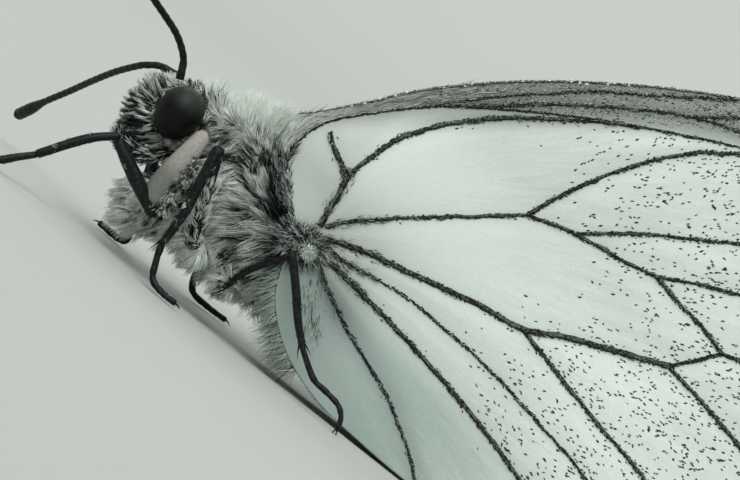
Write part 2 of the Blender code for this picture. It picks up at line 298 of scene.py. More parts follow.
def ring_places(path, radii, across=None, flat=1.0):
    """A matrix for each ring, with Z along the path; across is the direction that flat thins."""
    places = []
    turned = None
    for point, heading, radius in zip(path, headings(path), radii):
        heading = Vector(heading)
        if across is not None:
            thin = (Vector(across) - heading * heading.dot(Vector(across))).normalized()
            axes = Matrix((thin.cross(heading), thin, heading)).transposed()
        else:
            if turned is None:
                turned = heading.to_track_quat("Z", "Y")
            else:
                turned = last.rotation_difference(heading) @ turned
            axes = turned.to_matrix()
        last = heading
        scale = Matrix.Diagonal((radius, radius * flat, radius, 1))
        places.append(Matrix.Translation(Vector(point)) @ axes.to_4x4() @ scale)
    return places


def pull_ring(bm, places, sides):
    """A closed tube: a filled circle extruded from place to place."""
    start = bmesh.ops.create_circle(bm, cap_ends=True, segments=sides, radius=1.0)["verts"]
    face = cap = start[0].link_faces[0]
    bmesh.ops.transform(bm, matrix=places[0], verts=start)
    for before, place in zip(places, places[1:]):
        pulled = bmesh.ops.extrude_face_region(bm, geom=[face])["geom"]
        corners = [item for item in pulled if isinstance(item, bmesh.types.BMVert)]
        if face != cap:  # the ring's old face would be a wall across the inside
            bmesh.ops.delete(bm, geom=[face], context="FACES_ONLY")
        face = next(item for item in pulled if isinstance(item, bmesh.types.BMFace))
        bmesh.ops.transform(bm, matrix=place @ before.inverted(), verts=corners)


def tube(path, radii, sides=RING_SIDES, across=None, flat=1.0):
    """A bmesh of one tube."""
    bm = bmesh.new()
    pull_ring(bm, ring_places(path, radii, across, flat), sides)
    return bm


# %% [markdown]
# ## Scales and hairs
# A butterfly's colour is in tens of thousands of scales and hairs. One scale and one hair are modelled
# once with primitives, as templates. Arrays then place each copy: a scale by a 4 by 4 matrix, a hair by
# bending the template along its own curve. The copies of one region are joined in one mesh, so they
# stay solid shapes and no instances are left over.

# %% Templates
HAIR_TIP = 0.12  # as a share of the radius at the root


def template_of(bm):
    """Vertices and triangles of a template, as arrays."""
    bmesh.ops.triangulate(bm, faces=bm.faces)
    bmesh.ops.recalc_face_normals(bm, faces=bm.faces)
    bm.verts.ensure_lookup_table()
    verts = np.array([vert.co for vert in bm.verts])
    faces = np.array([[vert.index for vert in face.verts] for face in bm.faces])
    bm.free()
    return verts, faces


def hair_template(cuts):
    """A three-sided spike from Z 0 to 1 in so many lengths, so that it can bend."""
    bm = bmesh.new()
    bmesh.ops.create_cone(bm, cap_ends=True, segments=3, radius1=1, radius2=HAIR_TIP, depth=1)
    bmesh.ops.translate(bm, vec=(0, 0, 0.5), verts=bm.verts)
    for cut in range(1, cuts):
        geometry = [*bm.verts, *bm.edges, *bm.faces]
        bmesh.ops.bisect_plane(bm, geom=geometry, plane_co=(0, 0, cut / cuts), plane_no=(0, 0, 1))
    bm.verts.index_update()
    return template_of(bm)


def scale_template():
    """A flat lozenge one unit long, wide and thick."""
    bm = bmesh.new()
    bmesh.ops.create_uvsphere(bm, u_segments=4, v_segments=2, radius=0.5)
    bm.verts.index_update()
    return template_of(bm)


LONG_HAIR, SHORT_HAIR = hair_template(3), hair_template(2)
SCALE = scale_template()
for name, (_, faces) in {"long hair": LONG_HAIR, "short hair": SHORT_HAIR, "scale": SCALE}.items():
    print("triangles in a", name + ":", len(faces))


# %% Copies by arrays
SLANT = np.array([0.31, 0.47, 0.83])  # the sides of every hair are turned by this direction


def unit(vectors):
    return vectors / np.maximum(np.linalg.norm(vectors, axis=-1, keepdims=True), 1e-9)


def scale_copies(centres, along, outward, sizes):
    """Scales at their centres, with sizes as length, width and thickness."""
    verts, faces = SCALE
    along = unit(along)
    across = unit(np.cross(outward, along))
    above = np.cross(along, across)
    points = (
        centres[:, None]
        + verts[None, :, 0:1] * (along * sizes[:, 0:1])[:, None]
        + verts[None, :, 1:2] * (across * sizes[:, 1:2])[:, None]
        + verts[None, :, 2:3] * (above * sizes[:, 2:3])[:, None]
    )
    index = faces[None] + (np.arange(len(centres)) * len(verts))[:, None, None]
    return points, index


def hair_copies(template, roots, bends, tips, radii):
    """Hairs along curves that leave the root, lean to the bend and end at the tip."""
    verts, faces = template
    t = verts[None, :, 2:3]
    curve = (1 - t) ** 2 * roots[:, None] + 2 * t * (1 - t) * bends[:, None] + t**2 * tips[:, None]
    heading = unit(2 * (1 - t) * (bends - roots)[:, None] + 2 * t * (tips - bends)[:, None])
    side = unit(np.cross(heading, SLANT))
    other = np.cross(heading, side)
    wide = radii[:, None, None]
    points = curve + side * (verts[None, :, 0:1] * wide) + other * (verts[None, :, 1:2] * wide)
    index = faces[None] + (np.arange(len(roots)) * len(verts))[:, None, None]
    return points, index


# %% One mesh of many copies
BAKE_PATCH = 0.003  # across one copy's patch of its map


def store_colours(mesh, name, colours):
    """A colour for each corner of a mesh."""
    stored = mesh.attributes.new(name, "FLOAT_COLOR", "POINT")
    opaque = np.column_stack([colours, np.ones(len(colours))])
    stored.data.foreach_set("color", opaque.astype(np.float32).reshape(-1))


def joined_copies(name, points, index, colours, places):
    """One mesh of many copies, with a colour for each and its patch of the OFBake map."""
    per_copy = points.shape[1]
    world_points = points.reshape(-1, 3) * MM + np.array(origin_shift)
    corners = index.reshape(-1)
    mesh = bpy.data.meshes.new(name)
    mesh.vertices.add(len(world_points))
    mesh.vertices.foreach_set("co", world_points.astype(np.float32).reshape(-1))
    mesh.loops.add(len(corners))
    mesh.loops.foreach_set("vertex_index", corners.astype(np.int32))
    mesh.polygons.add(len(corners) // 3)
    mesh.polygons.foreach_set("loop_start", np.arange(0, len(corners), 3, dtype=np.int32))
    store_colours(mesh, "tint", np.repeat(colours, per_copy, axis=0))
    local = np.linspace(0, 1, per_copy)
    patch = np.column_stack([local, (local * 7) % 1]) * BAKE_PATCH
    uv = (places[:, None] + patch[None]).reshape(-1, 2)[corners]
    mesh.uv_layers.new(name="OFBake").data.foreach_set("uv", uv.astype(np.float32).reshape(-1))
    mesh.update(calc_edges=True)
    mesh.shade_smooth()
    return mesh


# %% [markdown]
# ## The shape of the wings
# A wing is a thin membrane stretched between stiff veins. Each is drawn from the side, as an outline
# and as a line for each vein. A depth function then says how far each point stands from the middle
# plane: the forewings close against each other, and the hindwings lie over them and spread round the
# abdomen. Between the veins the membrane swells a little, which gives it its soft shading.

# %% Outlines and veins, as (x, z) seen from the side
HINDWING_ROOT = (0.0, 5.7)
HINDWING_OUTLINE = [
    (-1.6, 6.1), (-2.5, 6.9), (-2.83, 8.1), (-2.6, 9.2), (-1.44, 10.95), (1.64, 13.75), (6.6, 16.9),
    (11.9, 19.6), (16.1, 21.5), (20.9, 22.8), (25.4, 21.4), (28.4, 17.8), (29.3, 12.6), (28.1, 7.4),
    (25.4, 3.0), (22.4, 0.7), (19.2, 0.1), (14.0, 0.08), (9.2, 0.08), (6.7, 0.2), (4.4, 0.45),
    (2.2, 1.3), (0.5, 2.8), (-0.3, 4.6),
]
FOREWING_ROOT = (-2.5, 7.5)
FOREWING_OUTLINE = [
    (-3.4, 8.1), (-3.5, 9.4), (-2.83, 10.0), (-1.6, 11.45), (0.2, 13.6), (3.6, 16.65), (8.4, 19.95),
    (14.0, 22.9), (19.5, 25.0), (24.6, 26.2), (27.3, 25.6), (28.6, 23.2), (29.1, 20.0), (27.9, 15.6),
    (24.9, 10.4), (21.3, 7.2), (16.5, 6.9), (10.0, 7.2), (4.0, 7.4), (-0.5, 7.6),
]

# Each vein has its line, and its half width at the start and at the end.
HINDWING_VEINS = {
    "costal_root": ([(-1.9, 6.25), (-2.6, 7.1), (-2.78, 8.14), (-2.62, 9.15)], 0.085, 0.03),
    "costal_edge": (
        [(-2.62, 9.15), (-2.1, 10.14), (-0.25, 12.11), (1.64, 13.74), (5.13, 16.04), (8.07, 17.7),
         (11.88, 19.57), (16.1, 21.42)], 0.028, 0.055),
    "shoulder": ([(-1.95, 9.62), (-1.52, 9.28), (-0.75, 8.86), (-0.31, 8.7)], 0.12, 0.2),
    "subcosta": (
        [(0.1, 6.3), (-0.06, 7.54), (-0.2, 8.83), (0.05, 9.9), (0.5, 11.19), (1.47, 12.6),
         (2.63, 13.83), (3.9, 14.92), (6.63, 16.84), (8.07, 17.66)], 0.14, 0.09),
    "cell_roof": ([(0.3, 6.4), (0.99, 7.19), (2.52, 8.58), (4.46, 10.13), (6.62, 11.91)], 0.085, 0.1),
    "radial": (
        [(6.62, 11.91), (7.22, 13.38), (8.07, 15.0), (9.02, 16.48), (10.1, 17.8), (11.36, 18.89),
         (14.6, 20.9), (18.1, 22.3)], 0.105, 0.07),
    "cell_end_upper": ([(6.62, 11.91), (8.69, 12.52), (10.81, 12.85), (12.4, 13.19)], 0.095, 0.09),
    "medial_1": ([(8.69, 12.52), (10.82, 14.19), (12.94, 15.53), (18.6, 19.1), (23.4, 22.1)], 0.095, 0.07),
    "medial_2": ([(12.4, 13.19), (14.1, 14.05), (15.67, 14.75), (21.0, 17.2), (26.7, 20.1)], 0.085, 0.07),
    "cell_end_lower": ([(12.4, 13.19), (13.96, 12.88), (15.14, 12.74), (16.61, 12.35)], 0.085, 0.095),
    "cell_corner": ([(16.61, 12.35), (15.9, 11.45), (15.14, 10.57)], 0.1, 0.1),
    "medial_3": ([(16.61, 12.35), (17.38, 12.58), (22.8, 14.2), (29.1, 15.4)], 0.1, 0.075),
    "cell_floor": (
        [(0.5, 6.0), (1.2, 6.25), (2.46, 6.65), (3.8, 6.94), (5.59, 7.34), (7.39, 7.74), (9.37, 8.05),
         (10.8, 8.79), (12.41, 9.45), (15.14, 10.57)], 0.13, 0.15),
    "cubital_1": ([(15.14, 10.57), (17.07, 10.27), (19.6, 9.75), (24.0, 8.9), (28.5, 8.2)], 0.105, 0.075),
    "cubital_2": ([(9.37, 8.05), (11.58, 7.51), (14.44, 6.84), (17.31, 6.23), (21.6, 4.9), (25.5, 3.2)],
                  0.11, 0.075),
    "fold": (
        [(1.0, 5.8), (1.84, 5.75), (4.44, 6.12), (6.57, 6.1), (9.36, 5.9), (12.4, 5.38), (15.25, 4.79),
         (19.8, 3.2), (23.6, 1.5)], 0.055, 0.085),
    "anal_1": (
        [(0.7, 5.5), (1.36, 5.37), (3.1, 5.14), (5.46, 4.81), (8.22, 4.32), (10.44, 3.84), (13.16, 3.06),
         (17.6, 1.7), (21.8, 0.4)], 0.13, 0.085),
    "anal_2": ([(0.6, 5.2), (1.7, 4.59), (3.23, 3.76), (5.38, 2.89), (6.93, 2.25), (8.73, 1.17), (9.9, 0.2)],
               0.075, 0.07),
}
FOREWING_VEINS = {
    "front_edge": (
        [(-3.42, 9.45), (-2.85, 9.98), (-1.55, 11.45), (0.22, 13.55), (3.6, 16.6), (8.4, 19.9),
         (14.0, 22.85), (19.5, 24.95), (24.6, 26.15)], 0.018, 0.04),
    "subcosta": (
        [(0.33, 12.72), (1.51, 13.91), (2.7, 15.11), (4.57, 16.78),
         (5.85, 17.83), (7.24, 18.76), (8.61, 19.72), (10.63, 21.12)], 0.05, 0.08),
    "radial": (
        [(-1.7, 9.9), (-0.9, 10.9), (1.01, 13.2), (2.93, 14.81), (4.87, 16.38), (7.63, 18.27),
         (9.83, 19.51), (11.5, 20.08), (14.6, 20.9), (20.0, 23.3), (24.9, 26.0)], 0.08, 0.08),
    "radial_1": ([(9.6, 19.4), (11.2, 20.6), (13.4, 21.9), (17.0, 24.0)], 0.09, 0.07),
    "radial_5": ([(20.0, 23.3), (24.0, 24.6), (27.4, 25.5)], 0.09, 0.07),
    "medial_1": ([(14.6, 20.9), (21.0, 22.2), (28.4, 23.6)], 0.1, 0.07),
    "cell_end": ([(14.6, 20.9), (14.5, 19.0), (15.2, 16.8)], 0.1, 0.1),
    "medial_2": ([(14.5, 19.0), (22.0, 20.3), (29.0, 21.2)], 0.1, 0.07),
    "medial_3": ([(15.2, 16.8), (22.0, 17.9), (29.0, 18.7)], 0.1, 0.07),
    "cell_floor": ([(-2.3, 7.9), (1.5, 10.0), (6.5, 12.4), (11.5, 14.8), (15.2, 16.8)], 0.13, 0.1),
    "cubital_1": ([(11.5, 14.8), (20.0, 15.4), (28.3, 16.2)], 0.1, 0.07),
    "cubital_2": ([(6.5, 12.4), (16.0, 11.7), (25.8, 11.9)], 0.1, 0.07),
    "anal_1": ([(-2.2, 7.8), (6.0, 8.6), (14.0, 8.2), (21.6, 7.4)], 0.1, 0.07),
}

# %% How far the wings stand from the middle plane
BODY_AXIS = ((-2.5, 6.6), (12.5, 2.8))  # x and z at its front and its tip
BODY_CLEARANCE, BODY_FADE = 1.9, 6.5
FOREWING_OFFSET, FOREWING_SPREAD, FOREWING_FADE = 0.36, 1.72, 7.5
HINDWING_OFFSET, HINDWING_SPREAD, HINDWING_SPREAD_RUN = 1.02, (1.78, 0.92), (-1.0, 5.0)


def hindwing_depth(xz):
    (front_x, front_z), (tip_x, tip_z) = BODY_AXIS
    along = np.clip((xz[:, 0] - front_x) / (tip_x - front_x), 0, 1)
    away = np.hypot(
        xz[:, 0] - front_x - (tip_x - front_x) * along, xz[:, 1] - front_z - (tip_z - front_z) * along
    )
    nearness = 1 - ease((away - BODY_CLEARANCE) / BODY_FADE)
    wide, narrow = HINDWING_SPREAD
    front, back = HINDWING_SPREAD_RUN
    return HINDWING_OFFSET + (wide - (wide - narrow) * ease((xz[:, 0] - front) / (back - front))) * nearness


def forewing_depth(xz):
    away = np.hypot(xz[:, 0] - FOREWING_ROOT[0], xz[:, 1] - FOREWING_ROOT[1])
    return FOREWING_OFFSET + FOREWING_SPREAD * (1 - ease(away / FOREWING_FADE))


# %% A wing as one set of functions
EDGE_STEPS = 14  # between two points of an outline
VEIN_STEP = 0.12  # between two points of a vein
SWELL, SWELL_RUN = 0.06, 0.6  # how far the membrane swells, and how far from a vein
SLOPE_STEP = 0.05  # over which the slope of a wing is measured


class Wing:
    """The surface of one pair of wings: where it stands, how it swells, and how far its veins are."""

    def __init__(self, kind, root, outline, veins, depth):
        self.kind, self.root, self.depth = kind, np.array(root), depth
        self.edge = smooth_through(outline, EDGE_STEPS)
        self.lines = {name: (evenly(smooth_through(line), VEIN_STEP), start, end)
                      for name, (line, start, end) in veins.items()}
        samples = np.vstack([line for line, _, _ in self.lines.values()])
        self.tree = KDTree(len(samples))
        for i, (x, z) in enumerate(samples):
            self.tree.insert((x, z, 0), i)
        self.tree.balance()

    def from_vein(self, xz):
        return np.array([self.tree.find((x, z, 0))[2] for x, z in xz])

    def swell(self, xz):
        return SWELL * (1 - np.exp(-((self.from_vein(xz) / SWELL_RUN) ** 2)))

    def points(self, xz, side, lift=0.0):
        """Places on the wing, lifted off its middle surface."""
        out = self.depth(xz) + self.swell(xz) + lift
        return np.column_stack([xz[:, 0], side * out, xz[:, 1]])

    def outward(self, xz, side):
        """The way out from the wing, from the slopes of its depth."""
        slopes = [(self.depth(xz + step) - self.depth(xz - step)) / (2 * SLOPE_STEP)
                  for step in ([SLOPE_STEP, 0], [0, SLOPE_STEP])]
        return unit(np.column_stack([-slopes[0], np.full(len(xz), float(side)), -slopes[1]]))


WINGS = [
    Wing("hindwing", HINDWING_ROOT, HINDWING_OUTLINE, HINDWING_VEINS, hindwing_depth),
    Wing("forewing", FOREWING_ROOT, FOREWING_OUTLINE, FOREWING_VEINS, forewing_depth),
]
print("veins:", {wing.kind: len(wing.lines) for wing in WINGS})

# %% [markdown]
# ## The finish of the wings
# From a hand's width away the wings are white. Close by they are not: white scales lie like roof tiles
# over a clear membrane, black scales dust the veins and the outer part, and the fold beside the body is
# painted a cool grey as shade. The broad tones, painted shade among them, are stored at each corner of
# the membrane as a colour, and the shader adds the tiles, as small cells, and long faint streaks along
# the rays, both as colour and as relief.

# %% Membrane finish
WING_WHITE = np.array([0.655, 0.707, 0.66])
SCALE_ROWS = 9.0  # rows of scales in a millimetre
TILE_TONES = (0.96, 1.02)  # the darkest and the palest tile
STREAK_SQUEEZE = (0.16, 1.0, 1.0)  # the pattern is drawn out along the rays

membrane_finish, membrane_shader = new_finish(
    "wing membrane", (0.6, 0.66, 0.6), 0.62, Sheen_Weight=0.12, Sheen_Roughness=0.5, Specular_IOR_Level=0.3
)
tone = add_node(membrane_finish, "ShaderNodeAttribute", {"attribute_name": "tone"})
rays = add_node(membrane_finish, "ShaderNodeAttribute", {"attribute_name": "rays"})
tiles = add_node(
    membrane_finish, "ShaderNodeTexVoronoi", Vector=rays.outputs["Vector"], Scale=SCALE_ROWS, Randomness=0.8,
)
tile_range = add_node(
    membrane_finish, "ShaderNodeMapRange", i0=tiles.outputs["Color"], i3=TILE_TONES[0], i4=TILE_TONES[1]
)
long_rays = add_node(
    membrane_finish, "ShaderNodeMapping", Vector=rays.outputs["Vector"], Scale=STREAK_SQUEEZE
)
streaks = add_node(
    membrane_finish, "ShaderNodeTexNoise", Vector=long_rays.outputs["Vector"], Scale=1.7, Detail=4.0,
)
streak_range = add_node(
    membrane_finish, "ShaderNodeMapRange", i0=streaks.outputs["Fac"], i1=0.3, i2=0.7, i3=-0.06, i4=0.04,
)
ray_parts = add_node(membrane_finish, "ShaderNodeSeparateXYZ", Vector=rays.outputs["Vector"])
faded = add_node(
    membrane_finish, "ShaderNodeMath", {"operation": "MULTIPLY_ADD"}, i0=streak_range.outputs["Result"],
    i1=ray_parts.outputs["Z"], i2=1.0,
)
grain = add_node(
    membrane_finish, "ShaderNodeMath", {"operation": "MULTIPLY"}, i0=tile_range.outputs["Result"],
    i1=faded.outputs["Value"],
)
coloured = add_node(
    membrane_finish, "ShaderNodeVectorMath", {"operation": "SCALE"}, i0=tone.outputs["Color"],
    Scale=grain.outputs["Value"],
)
join(membrane_finish, coloured.outputs["Vector"], membrane_shader.inputs["Base Color"])
relief = add_node(
    membrane_finish, "ShaderNodeBump", Strength=0.25, Distance=0.00002, Height=tiles.outputs["Distance"],
)
ribs = add_node(
    membrane_finish, "ShaderNodeBump", Strength=0.5, Distance=0.0006, Height=faded.outputs["Value"],
    Normal=relief.outputs["Normal"],
)
join(membrane_finish, ribs.outputs["Normal"], membrane_shader.inputs["Normal"])

# %% Scale finish, for black scales and for hair, whose colour each copy brings along
scale_finish, scale_shader = new_finish(
    "black and white scales", (0.5, 0.5, 0.5), 0.55, Specular_IOR_Level=0.3
)
tint = add_node(scale_finish, "ShaderNodeAttribute", {"attribute_name": "tint"})
join(scale_finish, tint.outputs["Color"], scale_shader.inputs["Base Color"])


# %% Helpers for a fine grain, its colours and its relief
def object_places(finish):
    return add_node(finish, "ShaderNodeTexCoord").outputs["Object"]


def add_grain(finish, scale, detail=2.0):
    """Noise on the piece's own coordinates, with so many cells in a metre."""
    return add_node(
        finish, "ShaderNodeTexNoise", Vector=object_places(finish), Scale=scale, Detail=detail
    ).outputs["Fac"]


def add_ramp(finish, share, stops):
    """Colours for shares from 0 to 1, given as a few stops and blended between them."""
    ramp = add_node(finish, "ShaderNodeValToRGB", Fac=share)
    elements = ramp.color_ramp.elements
    elements.remove(elements[1])
    for number, (place, colour) in enumerate(stops.items()):
        element = elements.new(place) if number else elements[0]
        element.position = place
        element.color = (*colour, 1)
    return ramp.outputs["Color"]


def add_relief(finish, shader, height, strength, distance, invert=False):
    """Relief on a surface, as deep as the distance in metres where the height is full."""
    bump = add_node(
        finish, "ShaderNodeBump", {"invert": invert}, Strength=strength, Distance=distance, Height=height
    )
    join(finish, bump.outputs["Normal"], shader.inputs["Normal"])


# %% Vein finish
vein_finish, vein_shader = new_finish(
    "black-scaled vein", (0.016, 0.018, 0.017), 0.6, Specular_IOR_Level=0.25
)
vein_grain = add_grain(vein_finish, 9000.0)
vein_tones = add_ramp(vein_finish, vein_grain, {0.4: (0.010, 0.012, 0.011), 0.75: (0.12, 0.135, 0.122)})
join(vein_finish, vein_tones, vein_shader.inputs["Base Color"])
add_relief(vein_finish, vein_shader, vein_grain, 0.6, 0.00004)
print("finishes so far:", [finish.name for finish in bpy.data.materials])

# %% [markdown]
# ## Membranes
# The membrane starts as a flat grid. Its columns become rays from the root of the wing and its rows
# become rings, so that the last ring is the outline; a Solidify modifier gives it its thickness. The
# tones follow from where each place lies: how near the closest vein is, how far out it is, and whether
# it is in the fold beside the body, greyed as painted shade, or in the front edge of the forewing, grey
# from scales and from painted shade.

# %% Membranes
MEMBRANE_THICKNESS = 0.07
GRIDS = {"hindwing": (270, 72), "forewing": (170, 48)}  # columns along the outline, and rings
OUTLINE_STEP = 0.02
RAYS_MEET, MID_WING = 4.0, 14.0  # how far in front of the root the rays meet, and how far out mid wing is
PAINTED_FOLD_SHADE = np.array([0.38, 0.31, 0.31])  # painted shade in the fold beside the body: how much darker, in red, green and blue
SHOULDER_SHADE = np.array([0.14, 0.15, 0.15])


def hindwing_tone(wing, xz):
    """Near-white; greyer at the root, along the veins and at the front edge; painted shade in the fold beside
    the body and in a crease.
    """
    x, z = xz.T
    from_root = np.hypot(x - HINDWING_ROOT[0], z - HINDWING_ROOT[1])
    near_root = np.exp(-((from_root / 3.2) ** 2))
    # painted shade: the fold beside the body is made darker and cooler
    fold_shade = ease((6.05 - 0.16 * x - z) / 1.6) * ease((19 - x) / 12)
    fold = ease((6.0 - 0.2 * x - z) / 1.2) * ease((15 - from_root) / 8)
    # greyer beside the veins: partly scattered scales, partly painted shade, which is stronger in the fold
    near_vein = np.exp(-((wing.from_vein(xz) / (0.3 + 0.25 * fold)) ** 2)) * (0.10 + 0.13 * fold)
    shoulder = ease((0.2 - x) / 0.9) * ease((z - 6.5) / 1.5)
    outer = ease((from_root - 9) / 8)
    front = ease((z - 10.9 - 0.75 * x) / 1.3)
    # painted shade where the wing creases between the inner veins near the root
    painted_crease_shade = np.exp(-(((x - 2.7) / 1.5) ** 2 + ((z - 3.9) / 1.3) ** 2))
    shade = 1 - near_vein - 0.27 * near_root + 0.12 * outer - 0.38 * front - 0.2 * painted_crease_shade
    tones = WING_WHITE * shade[:, None]
    tones = tones * (1 - fold_shade[:, None] * PAINTED_FOLD_SHADE)
    return tones * (1 - shoulder[:, None] * SHOULDER_SHADE)


def forewing_tone(wing, xz):
    """White, grey along its front edge from grey scales and from painted shade, paler near the root."""
    x, z = xz.T
    front = np.interp(x, *wing.edge[: len(wing.edge) // 2].T)
    # grey front edge: partly grey scales, partly painted shade
    strip = ease((z - front + 2.6) / 1.2) * (0.35 + 0.65 * ease((x + 2.9) / 1.3))
    near_vein = np.exp(-((wing.from_vein(xz) / 0.35) ** 2))
    return WING_WHITE * (1 - 0.15 * near_vein - (0.61 - 0.12 * ease(x / 9)) * strip)[:, None]


TONES = {"hindwing": hindwing_tone, "forewing": forewing_tone}


def ray_places(wing, xz):
    """How far out each place is, how far round at mid wing, and how strong its streaks are."""
    across = xz - wing.root
    angle = np.arctan2(across[:, 1], across[:, 0] + RAYS_MEET)
    from_root = np.hypot(*across.T)
    return np.column_stack([from_root, angle * MID_WING, ease((from_root - 4) / 9)])


def membrane(wing, label, side):
    """A flat grid that is bent into one wing, with its tones and rays stored at its corners."""
    columns, rings = GRIDS[wing.kind]
    bm = bmesh.new()
    bmesh.ops.create_grid(bm, x_segments=columns, y_segments=rings, size=1)
    edge = evenly(wing.edge, OUTLINE_STEP)
    spots = np.array([vert.co for vert in bm.verts])
    column = np.round((spots[:, 0] + 1) / 2 * (len(edge) - 1)).astype(int)
    share = ((spots[:, 1] + 1) / 2)[:, None]
    xz = wing.root + (edge[column] - wing.root) * share
    for vert, point in zip(bm.verts, wing.points(xz, side)):
        vert.co = point
    name = f"{wing.kind}_{label}_membrane"
    mesh = mesh_of(name, bm)
    store_colours(mesh, "tone", TONES[wing.kind](wing, xz))
    stored = mesh.attributes.new("rays", "FLOAT_VECTOR", "POINT")
    stored.data.foreach_set("vector", ray_places(wing, xz).astype(np.float32).reshape(-1))
    piece = finish_piece(name, mesh, membrane_finish, "wing", f"{wing.kind}_{label}")
    shell = piece.modifiers.new("thickness", "SOLIDIFY")
    shell.thickness = MEMBRANE_THICKNESS * MM
    shell.offset = 0
    return piece


for wing in WINGS:
    for label, side in SIDES.items():
        print("membrane:", membrane(wing, label, side).name)

# %% [markdown]
# ## Veins
# A vein is a tube a little flatter than it is wide, which stands out on both faces of the wing.

# %% Veins
VEIN_SIDES, VEIN_FLAT = 8, 0.62
VEIN_RINGS = 0.24  # from one ring of a vein to the next
LOOSE_VEINS = {"shoulder": 0.75, "front_edge": 0.5}  # how thickly the scales of the loosest veins lie


def vein_width(count, start, end):
    """Half widths along a vein, with a slight unevenness."""
    ripple = 1 + 0.10 * np.sin(np.arange(count) * 1.9) + 0.06 * np.sin(np.arange(count) * 0.7)
    return np.linspace(start, end, count) * ripple


def veins(wing, label, side):
    """All the veins of one wing, as tubes in one mesh."""
    bm = bmesh.new()
    for vein, (line, start, end) in wing.lines.items():
        xz = evenly(line, VEIN_RINGS)
        path = wing.points(xz, side)
        widths = vein_width(len(path), start, end) * LOOSE_VEINS.get(vein, 1.0)
        pull_ring(bm, ring_places(path, widths, (0, side, 0), VEIN_FLAT), VEIN_SIDES)
    name = f"{wing.kind}_{label}_veins"
    return finish_piece(name, mesh_of(name, bm), vein_finish, "wing")


for wing in WINGS:
    for label, side in SIDES.items():
        print("veins:", veins(wing, label, side).name)

# %% [markdown]
# ## The eyes
# A butterfly's eye is a tall dome of some thousands of facets. It is nearly black here, with a soft
# shine on its upper half. The facets are far too small to model, so a cell pattern gives them as relief.
# The shine is a painted sheen: a pale colour added to the eye's colour that comes in with height.

# %% Eye finish
EYE_FACETS = 42000.0  # cells in a metre
EYE_MOTTLE = 1600.0
PAINTED_SHEEN_START = 0.1  # where the painted sheen starts, above the middle of the eye


def height_share(finish, low, high):
    """A share that runs from 0 at one height of the model to 1 at another, both in millimetres."""
    parts = add_node(finish, "ShaderNodeSeparateXYZ", Vector=object_places(finish))
    return add_node(
        finish, "ShaderNodeMapRange", i0=parts.outputs["Z"],
        i1=origin_shift.z + low * MM, i2=origin_shift.z + high * MM,
    ).outputs["Result"]


eye_finish, eye_shader = new_finish(
    "eye", (0.003, 0.0034, 0.0032), 0.42, Specular_IOR_Level=0.27, IOR=1.36
)
facets = add_node(eye_finish, "ShaderNodeTexVoronoi", Vector=object_places(eye_finish), Scale=EYE_FACETS)
add_relief(eye_finish, eye_shader, facets.outputs["Distance"], 0.25, 0.000006, invert=True)
eye_tones = add_ramp(
    eye_finish, add_grain(eye_finish, EYE_MOTTLE), {0.0: (0.001, 0.0012, 0.001), 1.0: (0.004, 0.0038, 0.0035)}
)
# painted sheen: the upper part of the eye gets a paler, greenish colour that stands in for a highlight
painted_sheen_share = height_share(eye_finish, EYE_CENTRE.z + PAINTED_SHEEN_START, EYE_CENTRE.z + EYE_RADII.z)
painted_sheen = add_ramp(eye_finish, painted_sheen_share, {0.0: (0.0, 0.0, 0.0), 1.0: (0.030, 0.040, 0.034)})
eye_colour = add_node(eye_finish, "ShaderNodeVectorMath", {"operation": "ADD"}, i0=eye_tones, i1=painted_sheen)
join(eye_finish, eye_colour.outputs["Vector"], eye_shader.inputs["Base Color"])

# %% Eyes
EYE_SUBDIVISIONS = 5

for label, side in SIDES.items():
    bm = bmesh.new()
    bmesh.ops.create_icosphere(bm, subdivisions=EYE_SUBDIVISIONS, radius=1)
    bmesh.ops.scale(bm, vec=EYE_RADII, verts=bm.verts)
    bmesh.ops.translate(bm, vec=(EYE_CENTRE.x, EYE_CENTRE.y * side, EYE_CENTRE.z), verts=bm.verts)
    name = f"{label}_eye_dome"
    finish_piece(name, mesh_of(name, bm), eye_finish, "eye", f"eye_{label}")
    print("eye:", name)

# %% [markdown]
# ## Horny parts
# Legs, feelers and palps are tubes of black horn with a dusting of grey scales. One finish serves them
# all: black with grey grains, which also stand out a little.

# %% Horn finish
horn_finish, horn_shader = new_finish("black horn", (0.004, 0.005, 0.0045), 0.46, Specular_IOR_Level=0.22)
horn_grain = add_grain(horn_finish, 7000.0, 4.0)
horn_tones = add_ramp(horn_finish, horn_grain, {0.45: (0.002, 0.0025, 0.0022), 0.8: (0.024, 0.029, 0.026)})
join(horn_finish, horn_tones, horn_shader.inputs["Base Color"])
add_relief(horn_finish, horn_shader, horn_grain, 0.5, 0.00003)

# %% [markdown]
# ## The feelers
# A feeler starts in a thick socket joint on the crown, runs out as a shaft of short rings, and ends in a
# thicker club. One feeler stands out to each side. Each is one tube whose radius is pinched at every
# ring.

# %% Feelers
FEELERS = {  # x, distance out from the middle plane, z
    "left": [
        (-8.3, 1.1, 7.45), (-8.6, 1.2, 8.1), (-8.94, 1.5, 8.49), (-9.46, 1.9, 8.86), (-10.1, 2.4, 9.14),
        (-11.86, 4.1, 9.77), (-13.24, 5.4, 10.08), (-14.36, 6.5, 10.25), (-15.1, 7.3, 10.35),
        (-15.7, 7.95, 10.35), (-16.2, 8.5, 10.3),
    ],
    "right": [
        (-8.6, 1.2, 7.4), (-9.41, 1.35, 7.3), (-9.9, 1.5, 7.0), (-10.26, 1.9, 6.68), (-10.98, 3.1, 5.81),
        (-11.64, 4.5, 4.82), (-12.26, 5.9, 3.8), (-12.95, 7.3, 2.71), (-13.39, 8.3, 1.92),
        (-13.82, 9.2, 1.19),
    ],
}
SHAFT_RADIUS, CLUB_RADIUS, SOCKET_RADIUS = 0.155, 0.27, 0.19
RING_LENGTH, RING_PINCH = 0.42, 0.10
